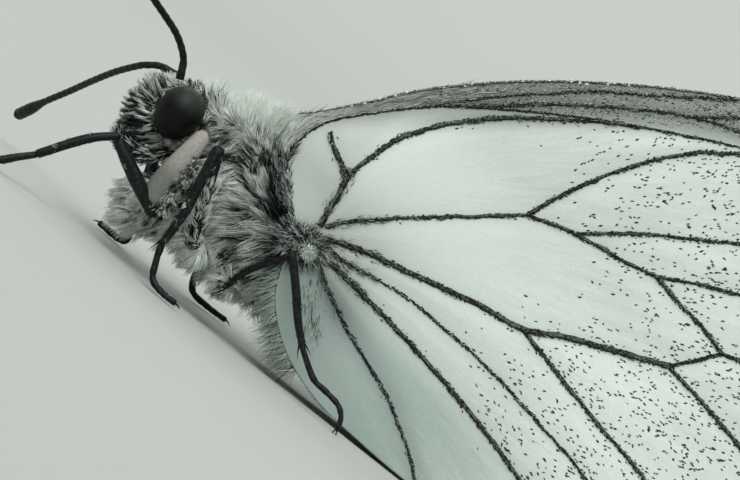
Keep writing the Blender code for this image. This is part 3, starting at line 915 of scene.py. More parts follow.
SOCKET_END, CLUB_START, CLUB_RISE, TIP_LENGTH = 0.09, 0.78, 0.12, 0.03  # as shares of the whole length
FEELER_STEP, FEELER_SIDES = 0.07, 14


def path_through(points, side, spacing, steps=8):
    """A smooth path on one side of the insect, through points whose Y is the distance out."""
    return evenly(smooth_through(np.array(points) * [1, side, 1], steps), spacing)


def distances(path):
    """How far along its path each point is."""
    return np.concatenate([[0], np.cumsum(np.linalg.norm(np.diff(path, axis=0), axis=1))])


def feeler_radii(path):
    """Radii along a feeler: socket, ringed shaft, club."""
    along = distances(path)
    share = along / along[-1]
    radii = SHAFT_RADIUS * (1 - RING_PINCH * np.abs(np.cos(np.pi * along / RING_LENGTH)) ** 6)
    radii += (SOCKET_RADIUS - SHAFT_RADIUS) * (1 - ease(share / SOCKET_END))
    radii += (CLUB_RADIUS - SHAFT_RADIUS) * ease((share - CLUB_START) / CLUB_RISE)
    return radii * np.sqrt(np.clip((1 - share) / TIP_LENGTH, 0.05, 1))


for label, side in SIDES.items():
    path = path_through(FEELERS[label], side, FEELER_STEP)
    name = f"{label}_feeler"
    mesh = mesh_of(name, tube(path, feeler_radii(path), FEELER_SIDES))
    finish_piece(name, mesh, horn_finish, "feeler", f"antenna_shaft_{label}", f"antenna_club_{label}")
    print(name, "length:", round(float(distances(path)[-1]), 1), "mm")

# %% [markdown]
# ## The legs
# Each leg has a thigh, a shin and a foot of five short lengths that ends in two claws. The pose of
# every leg is a list of its joints' places. The radii taper towards the foot, and each foot length
# flares at its far end, so the joints show as small steps. Shins of the middle and hind legs end in two
# spurs.

# %% Legs
LEGS = {  # x, distance out from the middle plane, z
    "fore_left": {
        "femur": [(-5.55, 1.95, 2.35), (-7.19, 2.3, 3.16), (-8.7, 2.5, 3.96)],
        "tibia": [(-8.86, 2.53, 4.0), (-9.73, 2.8, 3.18), (-10.95, 3.12, 1.42)],
        "tarsus": [(-11.0, 3.13, 1.36), (-11.45, 3.3, 0.9), (-11.94, 3.5, 0.38), (-12.4, 3.65, 0.2),
                   (-14.0, 4.1, 0.2)],
    },
    "mid_left": {
        "femur": [(-3.48, 1.85, 2.19), (-4.3, 2.53, 4.1), (-5.0, 2.85, 5.95)],
        "tibia": [(-5.1, 3.05, 6.15), (-4.87, 3.22, 4.71), (-4.61, 3.27, 3.2), (-4.57, 3.3, 1.65)],
        "tarsus": [(-4.56, 3.31, 1.6), (-4.3, 3.38, 1.0), (-3.95, 3.5, 0.36), (-3.3, 3.7, 0.18),
                   (-2.6, 3.85, 0.18)],
    },
    "hind_left": {
        "femur": [(-1.48, 1.75, 1.7), (-1.1, 2.35, 3.0), (-0.1, 3.35, 4.62)],
        "tibia": [(0.0, 3.38, 4.64), (0.97, 3.4, 3.65), (1.79, 3.35, 2.72), (2.62, 3.3, 1.95)],
        "tarsus": [(2.64, 3.3, 1.93), (3.75, 3.3, 1.21), (4.45, 3.3, 1.1), (5.25, 3.35, 0.97),
                   (5.68, 3.45, 0.62), (5.8, 3.55, 0.2)],
    },
    "fore_right": {
        "femur": [(-5.6, 1.95, 2.3), (-6.5, 2.5, 3.1), (-7.35, 2.88, 3.78)],
        "tibia": [(-7.36, 2.95, 3.72), (-6.9, 3.3, 2.4), (-6.37, 3.61, 1.02)],
        "tarsus": [(-6.35, 3.62, 0.98), (-6.2, 3.75, 0.38), (-6.6, 3.95, 0.18), (-7.6, 4.3, 0.18)],
    },
    "mid_right": {
        "femur": [(-3.4, 1.85, 2.1), (-3.7, 2.6, 3.8), (-4.03, 3.15, 5.28)],
        "tibia": [(-4.03, 3.25, 5.3), (-3.5, 3.7, 3.4), (-3.08, 4.02, 1.5)],
        "tarsus": [(-3.07, 4.04, 1.46), (-2.85, 4.15, 0.7), (-2.5, 4.3, 0.28), (-1.7, 4.5, 0.18),
                   (-0.7, 4.7, 0.18)],
    },
    "hind_right": {
        "femur": [(-1.5, 1.75, 1.7), (-0.8, 2.7, 3.1), (0.38, 3.52, 4.22)],
        "tibia": [(0.46, 3.57, 4.2), (2.3, 3.8, 2.8), (4.08, 4.01, 1.42)],
        "tarsus": [(4.1, 4.02, 1.4), (5.3, 4.15, 0.6), (6.1, 4.25, 0.22), (7.4, 4.4, 0.18),
                   (8.6, 4.55, 0.18)],
    },
}
LEG_RADII = {  # at the start, the middle and the end of each length
    "fore": {"femur": (0.27, 0.33, 0.24), "tibia": (0.17, 0.21, 0.19), "tarsus": (0.17, 0.18, 0.15)},
    "mid": {"femur": (0.24, 0.27, 0.24), "tibia": (0.26, 0.22, 0.17), "tarsus": (0.15, 0.15, 0.13)},
    "hind": {"femur": (0.12, 0.14, 0.13), "tibia": (0.165, 0.185, 0.155), "tarsus": (0.14, 0.14, 0.12)},
}
FOOT_JOINTS = (0.0, 0.42, 0.6, 0.73, 0.84, 1.0)  # where the lengths of a foot begin and end
CLAW, SPUR = (0.34, 0.05), (0.42, 0.045)  # length and radius
CLAW_SPREAD, SPUR_SPREAD, SPUR_PLACE = 0.5, 0.5, 0.12
HOOK_RINGS, HOOK_SIDES, HOOK_BEND = 7, 6, 0.55
LEG_STEP = 0.09
DOWN = np.array([0, 0, -1.0])


def round_ends(share, end, least):
    """A factor that rounds off both ends of a tube, over an end's share of its length."""
    return np.sqrt(np.clip(np.minimum(share, 1 - share) / end, least, 1))


def leg_radii(pair, length, count):
    """Radii along a length of leg, with rounded ends, or with the steps of the foot's joints."""
    share = np.linspace(0, 1, count)
    radii = np.interp(share, (0, 0.5, 1), LEG_RADII[pair][length])
    if length != "tarsus":
        return radii * round_ends(share, 0.03, 0.3)
    start = np.searchsorted(FOOT_JOINTS, share, side="right").clip(1, 5) - 1
    low = np.take(FOOT_JOINTS, start)
    inside = (share - low) / (np.take(FOOT_JOINTS, start + 1) - low)
    return radii * (0.84 + 0.20 * inside) * np.where(inside > 0.97, 0.85, 1)


def hook(bm, start, heading, down, length, radius):
    """A claw or a spur: a short tube that curves to a point."""
    share = np.linspace(0, 1, HOOK_RINGS)[:, None]
    path = start + heading * length * share + down * length * HOOK_BEND * share**2
    pull_ring(bm, ring_places(path, radius * (1.05 - share[:, 0])), HOOK_SIDES)


leg_paths = {}
for leg, lengths in LEGS.items():
    pair, label = leg.split("_")
    joint = None
    for length, points in lengths.items():
        joined = [joint, *points] if joint else points
        joint = points[-1]
        path = path_through(joined, SIDES[label], LEG_STEP)
        radii = leg_radii(pair, length, len(path))
        leg_paths[leg, length] = path, radii
        bm = tube(path, radii)
        heading = unit(path[-1] - path[-3])
        if length == "tarsus":
            for hand in (-1, 1):
                aside = unit(np.cross(heading, [0, 0, 1])) * hand
                hook(bm, path[-1], unit(heading + aside * CLAW_SPREAD + [0, 0, 0.25]), DOWN, *CLAW)
        elif length == "tibia" and pair != "fore":
            for hand in (-1, 1):
                aside = unit(np.cross(heading, [0, 1, 0])) * hand
                start = path[-2] + aside * SPUR_PLACE
                hook(bm, start, unit(heading + aside * SPUR_SPREAD), heading, *SPUR)
        name = f"{leg}_{length}"
        finish_piece(name, mesh_of(name, bm), horn_finish, "leg", f"{length}_{leg}")
print("leg pieces:", len(leg_paths))

# %% [markdown]
# ## The coiled tongue
# At rest the tongue is wound up between the palps like a watch spring. A tube follows a spiral.

# %% Tongue
TONGUE_CENTRE, TONGUE_RADIUS, TONGUE_TURNS = (-8.25, 3.65), 0.34, 2.6
TONGUE_START, TONGUE_DRAW = 0.6, 0.78  # the first angle in half turns, and how far the spiral closes in
TONGUE_THICKNESS, TONGUE_RINGS, TONGUE_SIDES = (0.075, 0.04), 90, 8

tongue_finish, _ = new_finish("tongue", (0.035, 0.028, 0.022), 0.35)
angles = np.linspace(TONGUE_START * math.pi, (TONGUE_START + 2 * TONGUE_TURNS) * math.pi, TONGUE_RINGS)
reach = TONGUE_RADIUS * (1 - TONGUE_DRAW * np.linspace(0, 1, TONGUE_RINGS))
spiral = np.column_stack([
    TONGUE_CENTRE[0] + reach * np.cos(angles), np.zeros(TONGUE_RINGS),
    TONGUE_CENTRE[1] + reach * np.sin(angles),
])
tongue = tube(spiral, np.linspace(*TONGUE_THICKNESS, TONGUE_RINGS), TONGUE_SIDES)
finish_piece("coiled_tongue", mesh_of("coiled_tongue", tongue), tongue_finish, "tongue", "proboscis")
print("tongue length:", round(float(distances(spiral)[-1]), 1), "mm")

# %% [markdown]
# ## Palps and the hips of the forelegs
# Two palps curve forward under the face, black and shaggy. The hips of the forelegs are smooth stout
# tubes that run down from behind the eyes, pinkish at the top and grey further down. Both are tubes over
# named places.

# %% Palps and hips
PALP_LINE = [
    (-6.6, 0.6, 4.9), (-7.0, 0.7, 4.5), (-7.5, 0.75, 4.05), (-8.2, 0.75, 3.8), (-8.75, 0.72, 3.87),
    (-9.05, 0.7, 4.1),
]
PALP_RADII, PALP_STEP = (0.22, 0.25, 0.26, 0.22, 0.12), 0.08
HIP_LINE = [(-6.06, 1.3, 6.4), (-6.07, 1.7, 5.2), (-6.08, 2.0, 3.9), (-6.05, 2.05, 2.6)]
HIP_RADII, HIP_STEP = (0.32, 0.44, 0.54, 0.6, 0.56), 0.1
HIP_SIDES, HIP_FLAT = 16, 0.62

hip_finish, hip_shader = new_finish("pinkish hip", (0.15, 0.15, 0.14), 0.6, Specular_IOR_Level=0.3)
hip_grain = add_grain(hip_finish, 9000.0, 4.0)
hip_speckle = add_ramp(hip_finish, hip_grain, {0.3: (0.8, 0.8, 0.8), 0.7: (1.1, 1.1, 1.1)})
hip_height = height_share(hip_finish, HIP_LINE[-1][2], HIP_LINE[0][2])
hip_tones = add_ramp(hip_finish, hip_height, {
    0.0: (0.165, 0.185, 0.16),
    0.38: (0.155, 0.165, 0.142),
    0.56: (0.28, 0.27, 0.247),
    1.0: (0.37, 0.336, 0.315),
})
hip_colour = add_node(
    hip_finish, "ShaderNodeVectorMath", {"operation": "MULTIPLY"}, i0=hip_speckle, i1=hip_tones
)
join(hip_finish, hip_colour.outputs["Vector"], hip_shader.inputs["Base Color"])


def rounded(radii, count):
    """Radii along a tube, with both ends rounded off."""
    share = np.linspace(0, 1, count)
    curve = smooth_through(np.array(radii)[:, None], 12)[:, 0]
    return np.interp(share, np.linspace(0, 1, len(curve)), curve) * round_ends(share, 0.06, 0.1)


palp_paths = {}
for label, side in SIDES.items():
    path = path_through(PALP_LINE, side, PALP_STEP)
    radii = rounded(PALP_RADII, len(path))
    palp_paths[label] = path, radii
    palp = mesh_of(f"{label}_palp", tube(path, radii))
    finish_piece(f"{label}_palp", palp, horn_finish, "fur", f"palp_{label}")
    path = path_through(HIP_LINE, side, HIP_STEP, 40)
    radii = rounded(HIP_RADII, len(path))
    hip = mesh_of(f"fore_{label}_hip", tube(path, radii, HIP_SIDES, (0, 1, 0), HIP_FLAT))
    finish_piece(f"fore_{label}_hip", hip, hip_finish, "leg")
print("palps and hips:", made[-4:])

# %% [markdown]
# ## The lie of the coat
# The coat isn't even: the forehead is a white brush, the cheeks are streaked black and white, the collar
# is a dense white fuzz that stands up, and dark hairs fan out from the root of the wings. A short list of
# places says which way the hair lies there, how far it stands off, how long it is and how much of it is
# white. Everywhere else is a blend of the nearest places.

# %% Guides of the coat
GUIDES = {  # (x, z), direction in x and z, lift, length, share of white hairs
    "brow": ((-8.9, 6.6), (-1.0, 0.35), 0.8, 0.82, 0.6),
    "forehead": ((-8.6, 7.3), (-0.8, 0.6), 0.7, 0.42, 0.95),
    "crown_front": ((-8.15, 7.5), (-0.85, 0.5), 0.35, 0.2, 0.8),
    "crown": ((-7.6, 7.7), (-0.4, 0.9), 0.6, 0.35, 0.1),
    "crown_rear": ((-7.15, 7.55), (-0.4, 0.9), 0.5, 0.4, 0.5),
    "nape": ((-6.7, 7.6), (-0.5, 0.9), 0.8, 1.7, 1.0),
    "muzzle_top": ((-9.3, 5.6), (-1.0, 0.0), 0.75, 0.75, 0.22),
    "muzzle": ((-8.9, 4.7), (-0.85, -0.6), 0.55, 0.75, 0.2),
    "under_eye": ((-6.95, 5.2), (-0.8, -0.5), 0.5, 0.5, 1.0),
    "chin": ((-8.1, 4.4), (-0.75, -0.65), 0.35, 0.8, 0.22),
    "cheek": ((-7.1, 4.8), (-0.8, -0.6), 0.14, 0.5, 0.4),
    "eye_rim": ((-6.4, 6.7), (-0.1, -0.9), 0.35, 0.4, 0.45),
    "rear_cheek": ((-6.3, 5.9), (-0.4, -0.9), 0.35, 0.4, 0.8),
    "collar_front": ((-5.8, 8.1), (-0.3, 0.9), 0.6, 0.5, 0.95),
    "collar_top": ((-4.5, 8.8), (-0.1, 1.0), 0.7, 0.78, 1.0),
    "collar_rear": ((-3.6, 9.2), (0.3, 1.0), 0.6, 1.05, 0.95),
    "collar_side": ((-4.8, 7.9), (-0.3, 0.9), 0.45, 0.8, 1.0),
    "tegula": ((-3.6, 8.3), (0.1, 1.0), 0.35, 0.8, 1.0),
    "side_front": ((-4.9, 6.9), (-0.35, -0.9), 0.3, 0.8, 0.7),
    "fan_up": ((-3.4, 7.3), (-0.55, 0.8), 0.35, 0.65, 0.5),
    "fan_front": ((-2.8, 6.2), (-0.85, 0.5), 0.4, 0.75, 0.3),
    "fan_middle": ((-1.6, 5.9), (-0.85, 0.35), 0.45, 0.75, 0.25),
    "fan_low": ((-2.6, 4.9), (-0.95, -0.3), 0.35, 1.4, 0.72),
    "root": ((-0.3, 5.4), (-0.8, -0.5), 0.4, 1.1, 0.35),
    "side_middle": ((-4.4, 5.7), (-0.4, -0.9), 0.3, 1.1, 0.74),
    "side_low": ((-3.6, 4.2), (-0.55, -0.85), 0.35, 1.5, 0.97),
    "belly_front": ((-4.2, 2.9), (-0.15, -1.0), 0.35, 1.2, 0.95),
    "belly_middle": ((-2.2, 2.6), (-0.35, -1.0), 0.35, 1.3, 0.85),
    "hip_middle": ((-3.4, 1.8), (-0.2, -1.0), 0.2, 0.6, 0.95),
    "hip_rear": ((-1.5, 1.5), (-0.3, -1.0), 0.2, 0.5, 0.6),
    "flank": ((-1.0, 3.9), (-0.65, -0.75), 0.35, 1.5, 0.55),
    "flank_rear": ((0.6, 2.6), (0.1, -1.0), 0.3, 1.3, 0.85),
    "breast_top": ((-6.9, 3.5), (-0.8, -0.4), 0.2, 0.3, 0.5),
    "breast_plain": ((-6.6, 2.5), (-0.7, -0.7), 0.12, 0.3, 0.95),
    "breast_front": ((-7.3, 2.7), (-0.88, -0.45), 0.8, 0.95, 1.0),
    "breast_low": ((-6.6, 1.5), (-0.75, -0.7), 0.6, 0.85, 0.95),
    "breast_side": ((-6.1, 2.6), (-0.1, -1.0), 0.2, 0.4, 0.6),
    "neck_side": ((-5.6, 4.4), (-0.2, -1.0), 0.2, 0.45, 0.55),
    "abdomen_front": ((2.0, 4.0), (0.9, -0.4), 0.2, 0.6, 0.6),
    "abdomen_top": ((6.0, 5.0), (1.0, -0.1), 0.15, 0.5, 0.05),
    "abdomen_side": ((6.0, 3.4), (1.0, -0.3), 0.15, 0.5, 0.6),
    "abdomen_low": ((6.0, 1.9), (1.0, -0.2), 0.15, 0.5, 0.95),
    "abdomen_tip": ((12.5, 2.4), (1.0, -0.3), 0.25, 0.6, 0.6),
}
guide_places = np.array([guide[0] for guide in GUIDES.values()])
guide_headings = unit(np.array([guide[1] for guide in GUIDES.values()]))
guide_measures = np.array([guide[2:] for guide in GUIDES.values()])
GUIDE_BLUR = 0.12  # the larger, the softer a guide's place
print("guides:", len(GUIDES))


def lie_at(xz):
    """Direction in x and z, lift, length and share of white, blended at each place."""
    apart = ((xz[:, None] - guide_places[None]) ** 2).sum(axis=2)
    weight = 1 / (apart + GUIDE_BLUR) ** 2
    weight /= weight.sum(axis=1, keepdims=True)
    return unit(weight @ guide_headings), weight @ guide_measures


# %% [markdown]
# ## One skin
# Under its hair the body is one skin from head to tail. It starts from copies of the solids of thorax and
# abdomen, pushed inwards by the depth of the coat. Skull, face, neck, breast and the hips of the other
# legs are added as stretched spheres. Voxel remeshing then makes one surface of all of them, and
# smoothing rounds off the joins. The skin has the coat's own markings, a shade darker, so that no bare
# colour shows between the hairs.

# %% Skin
COAT_DEPTH = {"thorax": 0.75, "abdomen": 0.3}
SKIN_LUMPS = {  # centre and radii
    "skull": ((-7.72, 0, 6.1), (1.25, 1.2, 1.5)),
    "face": ((-8.3, 0, 5.5), (0.78, 0.95, 1.18)),
    "neck": ((-6.2, 0, 5.95), (0.85, 0.95, 1.6)),
    "collar": ((-5.2, 0, 6.6), (1.0, 1.15, 1.9)),
    "breast": ((-6.3, 0, 2.45), (1.02, 1.25, 1.35)),
    "midriff": ((-5.1, 0, 4.2), (1.1, 1.3, 2.6)),
    "waist": ((1.0, 0, 4.3), (1.4, 1.0, 1.6)),
}
HIPS = {"mid": ((-3.35, 1.45, 2.1), (0.55, 0.6, 0.7)), "hind": ((-1.45, 1.4, 1.75), (0.5, 0.55, 0.55))}
VOXEL, SMOOTHINGS = 0.16, 8
DARK_SKIN, PALE_SKIN = np.array([0.02, 0.022, 0.021]), np.array([0.48, 0.52, 0.48])


def sunk_copy(bm, node, depth):
    """Adds a copy of a solid to bm, pushed in along its normals."""
    part = bmesh.new()
    part.from_mesh(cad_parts[node].data)
    bmesh.ops.remove_doubles(part, verts=part.verts, dist=1e-6)
    part.normal_update()
    for vert, inward in [(vert, vert.normal * -depth * MM) for vert in part.verts]:
        vert.co += inward
    spare = bpy.data.meshes.new("spare")
    part.to_mesh(spare)
    part.free()
    bm.from_mesh(spare)
    bpy.data.meshes.remove(spare)


bm = bmesh.new()
hips = [((x, y * side, z), radii) for (x, y, z), radii in HIPS.values() for side in (-1, 1)]
for centre, radii in [*SKIN_LUMPS.values(), *hips]:
    lump = bmesh.ops.create_uvsphere(bm, u_segments=24, v_segments=16, radius=1)["verts"]
    bmesh.ops.scale(bm, vec=radii, verts=lump)
    bmesh.ops.translate(bm, vec=centre, verts=lump)
bmesh.ops.transform(bm, matrix=TO_FRAME, verts=bm.verts)
for node, depth in COAT_DEPTH.items():
    sunk_copy(bm, node, depth)
rough_mesh = bpy.data.meshes.new("rough skin")
bm.to_mesh(rough_mesh)
bm.free()
rough = bpy.data.objects.new("rough skin", rough_mesh)
bpy.context.scene.collection.objects.link(rough)
remesh = rough.modifiers.new("one surface", "REMESH")
remesh.mode = "VOXEL"
remesh.voxel_size = VOXEL * MM
bpy.context.view_layer.update()
surface = bpy.data.meshes.new_from_object(rough.evaluated_get(bpy.context.evaluated_depsgraph_get()))
bpy.data.objects.remove(rough, do_unlink=True)

bm = bmesh.new()
bm.from_mesh(surface)
bpy.data.meshes.remove(surface)
for _ in range(SMOOTHINGS):
    bmesh.ops.smooth_vert(
        bm, verts=bm.verts, factor=0.5, use_axis_x=True, use_axis_y=True, use_axis_z=True
    )
bmesh.ops.recalc_face_normals(bm, faces=bm.faces)
skin_mesh = bpy.data.meshes.new("body_skin")
bm.to_mesh(skin_mesh)
bm.free()
skin_mesh.shade_smooth()


# %% Arrays of the skin, in millimetres, and its finish
def skin_arrays():
    """Corners, normals, triangles and areas."""
    skin_mesh.calc_loop_triangles()
    count = len(skin_mesh.vertices)
    spots, normals = np.empty(count * 3), np.empty(count * 3)
    skin_mesh.vertices.foreach_get("co", spots)
    skin_mesh.vertices.foreach_get("normal", normals)
    triangles = np.empty(len(skin_mesh.loop_triangles) * 3, int)
    skin_mesh.loop_triangles.foreach_get("vertices", triangles)
    spots = (spots.reshape(-1, 3) - np.array(origin_shift)) / MM
    triangles = triangles.reshape(-1, 3)
    a, b, c = (spots[triangles[:, i]] for i in range(3))
    return spots, normals.reshape(-1, 3), triangles, np.linalg.norm(np.cross(b - a, c - a), axis=1) / 2


skin_spots, skin_normals, skin_triangles, skin_areas = skin_arrays()
whiteness = lie_at(skin_spots[:, [0, 2]])[1][:, 2:] ** 1.5
store_colours(skin_mesh, "tone", DARK_SKIN + (PALE_SKIN - DARK_SKIN) * whiteness)

skin_finish, skin_shader = new_finish("skin", (0.045, 0.05, 0.047), 0.6)
skin_tone = add_node(skin_finish, "ShaderNodeAttribute", {"attribute_name": "tone"})
join(skin_finish, skin_tone.outputs["Color"], skin_shader.inputs["Base Color"])
finish_piece("body_skin", skin_mesh, skin_finish, "fur", "head", "prothorax", "thorax", "abdomen")
print("skin:", len(skin_mesh.polygons), "faces,", round(float(skin_areas.sum())), "square millimetres")


# %% Places on the skin
def places_on_skin(rng, count, where):
    """Random roots and normals, spread evenly over the triangles whose middles lie where they should."""
    middles = skin_spots[skin_triangles].mean(axis=1)
    chance = skin_areas * where(*middles.T)
    chosen = rng.choice(len(skin_triangles), count, p=chance / chance.sum())
    share = rng.random((count, 2))
    share = np.where(share.sum(axis=1, keepdims=True) > 1, 1 - share, share)
    weights = np.column_stack([1 - share.sum(axis=1), share])[:, :, None]
    corners = skin_triangles[chosen]
    return (skin_spots[corners] * weights).sum(axis=1), unit((skin_normals[corners] * weights).sum(axis=1))


def outside_eyes(spots, gap):
    """Whether each place lies clear of both eyes."""
    mirrored = np.column_stack([spots[:, 0], np.abs(spots[:, 1]), spots[:, 2]])
    reach = (mirrored - np.array(EYE_CENTRE)) / (np.array(EYE_RADII) + gap)
    return (reach**2).sum(axis=1) > 1


# %% [markdown]
# ## Locks of hair
# Hairs stick together in locks, with one tip for several roots and mostly one colour. So the roots of a
# region are gathered round a few of them. Each hair leans towards the tip of its own lock, and locks
# differ in length, direction and brightness.

# %% Hair
WHITE_HAIR = np.array([0.79, 0.84, 0.78])
GREY_HAIR = np.array([0.26, 0.29, 0.27])
BLACK_HAIR = np.array([0.010, 0.012, 0.011])
GREY_SHARE = 0.08
CONTRAST = 1.2  # how much more extreme the shares of white are than the blend of the guides
LOCK_RULE = 0.86  # the share of hairs that follow their lock in being white or black
STRAY_HAIR, STRAY_LOCK = 0.10, 0.24  # how much hairs and locks differ in direction
LOCK_LENGTHS, HAIR_LENGTHS = (0.72, 1.25), (0.8, 1.1)  # shortest and longest, as shares of the given length
HAIR_SINK = 0.05  # how deep a root sits in the skin


def nearest_locks(roots, centres):
    """The number of the lock that each root belongs to."""
    tree = KDTree(len(centres))
    for i, centre in enumerate(centres):
        tree.insert(centre, i)
    tree.balance()
    return np.array([tree.find(root)[1] for root in roots])


def hair_colours(rng, white_share, lock):
    """Most hairs of a lock share its colour, some are grey, and each differs a little."""
    count = len(white_share)
    locks = lock.max() + 1
    white_share = ((white_share - 0.5) * CONTRAST + 0.5).clip(0, 1)
    draw = np.where(rng.random(count) < LOCK_RULE, rng.random(locks)[lock], rng.random(count))
    white = (draw < white_share)[:, None]
    grey = (rng.random(count) < GREY_SHARE * (1 - white_share**4))[:, None]
    colours = np.where(white, WHITE_HAIR, BLACK_HAIR)
    colours = np.where(grey, GREY_HAIR * (0.6 + 0.9 * white_share[:, None]), colours)
    spread = 1 - 0.7 * white_share**4  # white fur is more even than mixed fur
    shade = 0.9 + (rng.uniform(-0.18, 0.12, locks)[lock] + rng.uniform(-0.1, 0.1, count)) * spread
    return colours * shade[:, None]


def bake_places(roots):
    """The coat's map: how far along the body each root is, and how far round it."""
    low, high = skin_spots.min(axis=0), skin_spots.max(axis=0)
    along = (roots[:, 0] - low[0]) / (high[0] - low[0])
    middle = np.interp(roots[:, 0], (-8.0, -5.0, 1.0, 13.0), (6.0, 5.3, 4.2, 2.5))
    round_it = np.arctan2(roots[:, 1], roots[:, 2] - middle) / (2 * math.pi) + 0.5
    return np.column_stack([along, round_it]) * (1 - BAKE_PATCH)


def strands(rng, template, roots, normals, headings, lift, length, radius, per_lock, pull):
    """Hair copies in locks, and the lock of each."""
    centres = roots[rng.choice(len(roots), max(1, len(roots) // per_lock), replace=False)]
    lock = nearest_locks(roots, centres)
    flat = headings - normals * (headings * normals).sum(axis=1, keepdims=True)
    stray = rng.normal(0, STRAY_LOCK, centres.shape)[lock] + rng.normal(0, STRAY_HAIR, roots.shape)
    away = unit(flat + normals * lift[:, None] + stray)
    long = length * rng.uniform(*LOCK_LENGTHS, len(centres))[lock] * rng.uniform(*HAIR_LENGTHS, len(roots))
    long = long[:, None]
    tips = roots + away * long
    members = np.bincount(lock, minlength=len(centres))[:, None].clip(1)
    middles = np.column_stack([np.bincount(lock, tips[:, i], len(centres)) for i in range(3)]) / members
    tips = tips + (middles[lock] - tips) * (pull * rng.uniform(0.6, 1.15, (len(roots), 1))).clip(0, 1)
    bends = roots + (normals * lift[:, None] * 0.5 + unit(tips - roots) * 0.5) * long * 0.6
    radii = radius * rng.uniform(0.7, 1.25, len(roots))
    return hair_copies(template, roots - normals * HAIR_SINK, bends, tips, radii), lock


def coat(name, seed, count, radius, per_lock, pull, where):
    """One piece of the coat."""
    rng = np.random.default_rng(seed)
    roots, normals = places_on_skin(rng, count, where)
    free = outside_eyes(roots, EYE_GAP)
    roots, normals = roots[free], normals[free]
    flat, measures = lie_at(roots[:, [0, 2]])
    headings = np.column_stack([flat[:, 0], np.zeros(len(flat)), flat[:, 1]])
    lift, length, white = measures.T
    template = LONG_HAIR if length.mean() > LONG_COAT else SHORT_HAIR
    (points, index), lock = strands(
        rng, template, roots, normals, headings, lift, length, radius, per_lock, pull
    )
    mesh = joined_copies(name, points, index, hair_colours(rng, white, lock), bake_places(roots))
    finish_piece(name, mesh, scale_finish, "fur")
    print(name, "hairs:", len(roots), "triangles:", len(mesh.polygons))


EYE_GAP = 0.04  # between an eye and the nearest roots
LONG_COAT = 0.85  # past this mean length the hairs of a piece have three lengths, not two
COAT_REGIONS = {  # seed, hairs, half width, hairs to a lock, pull of a lock, where
    "head_coat": (11, 12500, 0.019, 9, 0.68, lambda x, y, z: (x < -6.45) & (z > 4.0)),
    "neck_coat": (12, 7000, 0.020, 9, 0.6, lambda x, y, z: (x < -5.2) & ((x > -6.6) | (z < 4.1))),
    "collar_coat": (13, 13500, 0.015, 4, 0.22, lambda x, y, z: (x > -5.6) & (x < 0.5) & (z > 7.2)),
    "chest_coat": (14, 9000, 0.023, 16, 0.68, lambda x, y, z: (x > -5.4) & (x < -1.6) & (z < 7.4)),
    "flank_coat": (15, 6000, 0.023, 14, 0.68, lambda x, y, z: (x > -1.8) & (x < 1.8) & (z < 7.4)),
    "abdomen_coat": (16, 5200, 0.025, 8, 0.5, lambda x, y, z: x > 1.4),
}
for name, region in COAT_REGIONS.items():
    coat(name, *region)

# %% [markdown]
# ## Shaggy palps and legs
# The palps carry long bristles that point forward, and the legs are clothed in short ones that lie
# towards the foot. The thighs of the middle legs are as pale and shaggy as the chest. Roots are spread
# round the tubes by angle. A speckled band behind each front hip and a rim of short hair round each eye
# are made the same way, on paths that have no tube of their own.

# %% Hair on tubes
ROUND_START = np.array([0.13, 0.87, 0.31])  # the direction from which the angle round a tube is counted
ROOT_DEPTH = 0.92  # roots sit at this share of the tube's radius


def tube_places(rng, path, radii, count, reach):
    """Random places on a tube, the way out, the way along, and how far along and round they are."""
    at = rng.random(count) * (len(path) - 1) * reach
    low = at.astype(int)
    share = (at - low)[:, None]
    middle = path[low] * (1 - share) + path[low + 1] * share
    along = headings(path)[low]
    side = unit(np.cross(along, ROUND_START))
    other = np.cross(along, side)
    angle = rng.random((count, 1)) * 2 * math.pi
    outward = side * np.cos(angle) + other * np.sin(angle)
    places = np.column_stack([at / len(path), angle / 2 / math.pi])
    return middle + outward * radii[low][:, None], outward, along, places


def tube_coat(name, slot, seed, tube_path, measures, per_lock=8, pull=0.6, stray=0.0):
    """Hair that leans along a tube, up to a share of its length."""
    count, length, lift, radius, white, reach = measures
    rng = np.random.default_rng(seed)
    path, radii = tube_path
    roots, outward, along, places = tube_places(rng, path, radii * ROOT_DEPTH, count, reach)
    along = unit(along + rng.normal(0, 1, along.shape) * stray)
    full = np.full(count, 1.0)
    copies, lock = strands(
        rng, SHORT_HAIR, roots, outward, along, full * lift, full * length, radius, per_lock, pull
    )
    colours = hair_colours(rng, full * white, lock)
    mesh = joined_copies(name, *copies, colours, places * (1 - BAKE_PATCH))
    finish_piece(name, mesh, scale_finish, slot)


# %% Hair of palps, bands, eye rims and legs
# Hairs, length, lift, half width, share of white, and how far along the tube they reach.
BRISTLES = {
    "femur": (420, 0.2, 0.45, 0.014, 0.1, 1.0),
    "tibia": (340, 0.16, 0.35, 0.013, 0.1, 1.0),
    "tarsus": (240, 0.11, 0.4, 0.012, 0.1, 1.0),
}
PALE_THIGH = (1100, 0.55, 0.45, 0.02, 0.75, 0.72)
PALE_SHIN = (700, 0.2, 0.3, 0.014, 0.3, 1.0)
PALP_HAIR = (1500, 0.45, 0.35, 0.02, 0.34, 1.0)
BAND_HAIR = (1600, 0.26, 0.5, 0.02, 0.5, 1.0)
RIM_HAIR = (320, 0.3, 0.25, 0.018, 0.5, 1.0)

SPECKLED_BAND = [  # behind each front hip
    (-5.45, 1.6, 5.3), (-5.55, 1.85, 4.5), (-5.65, 1.95, 3.6), (-5.6, 1.95, 2.6),
]
BAND_STEP, BAND_RADIUS = 0.1, 0.42
RIM_PLACES, RIM_GAP, RIM_RADIUS = 60, 0.05, 0.1

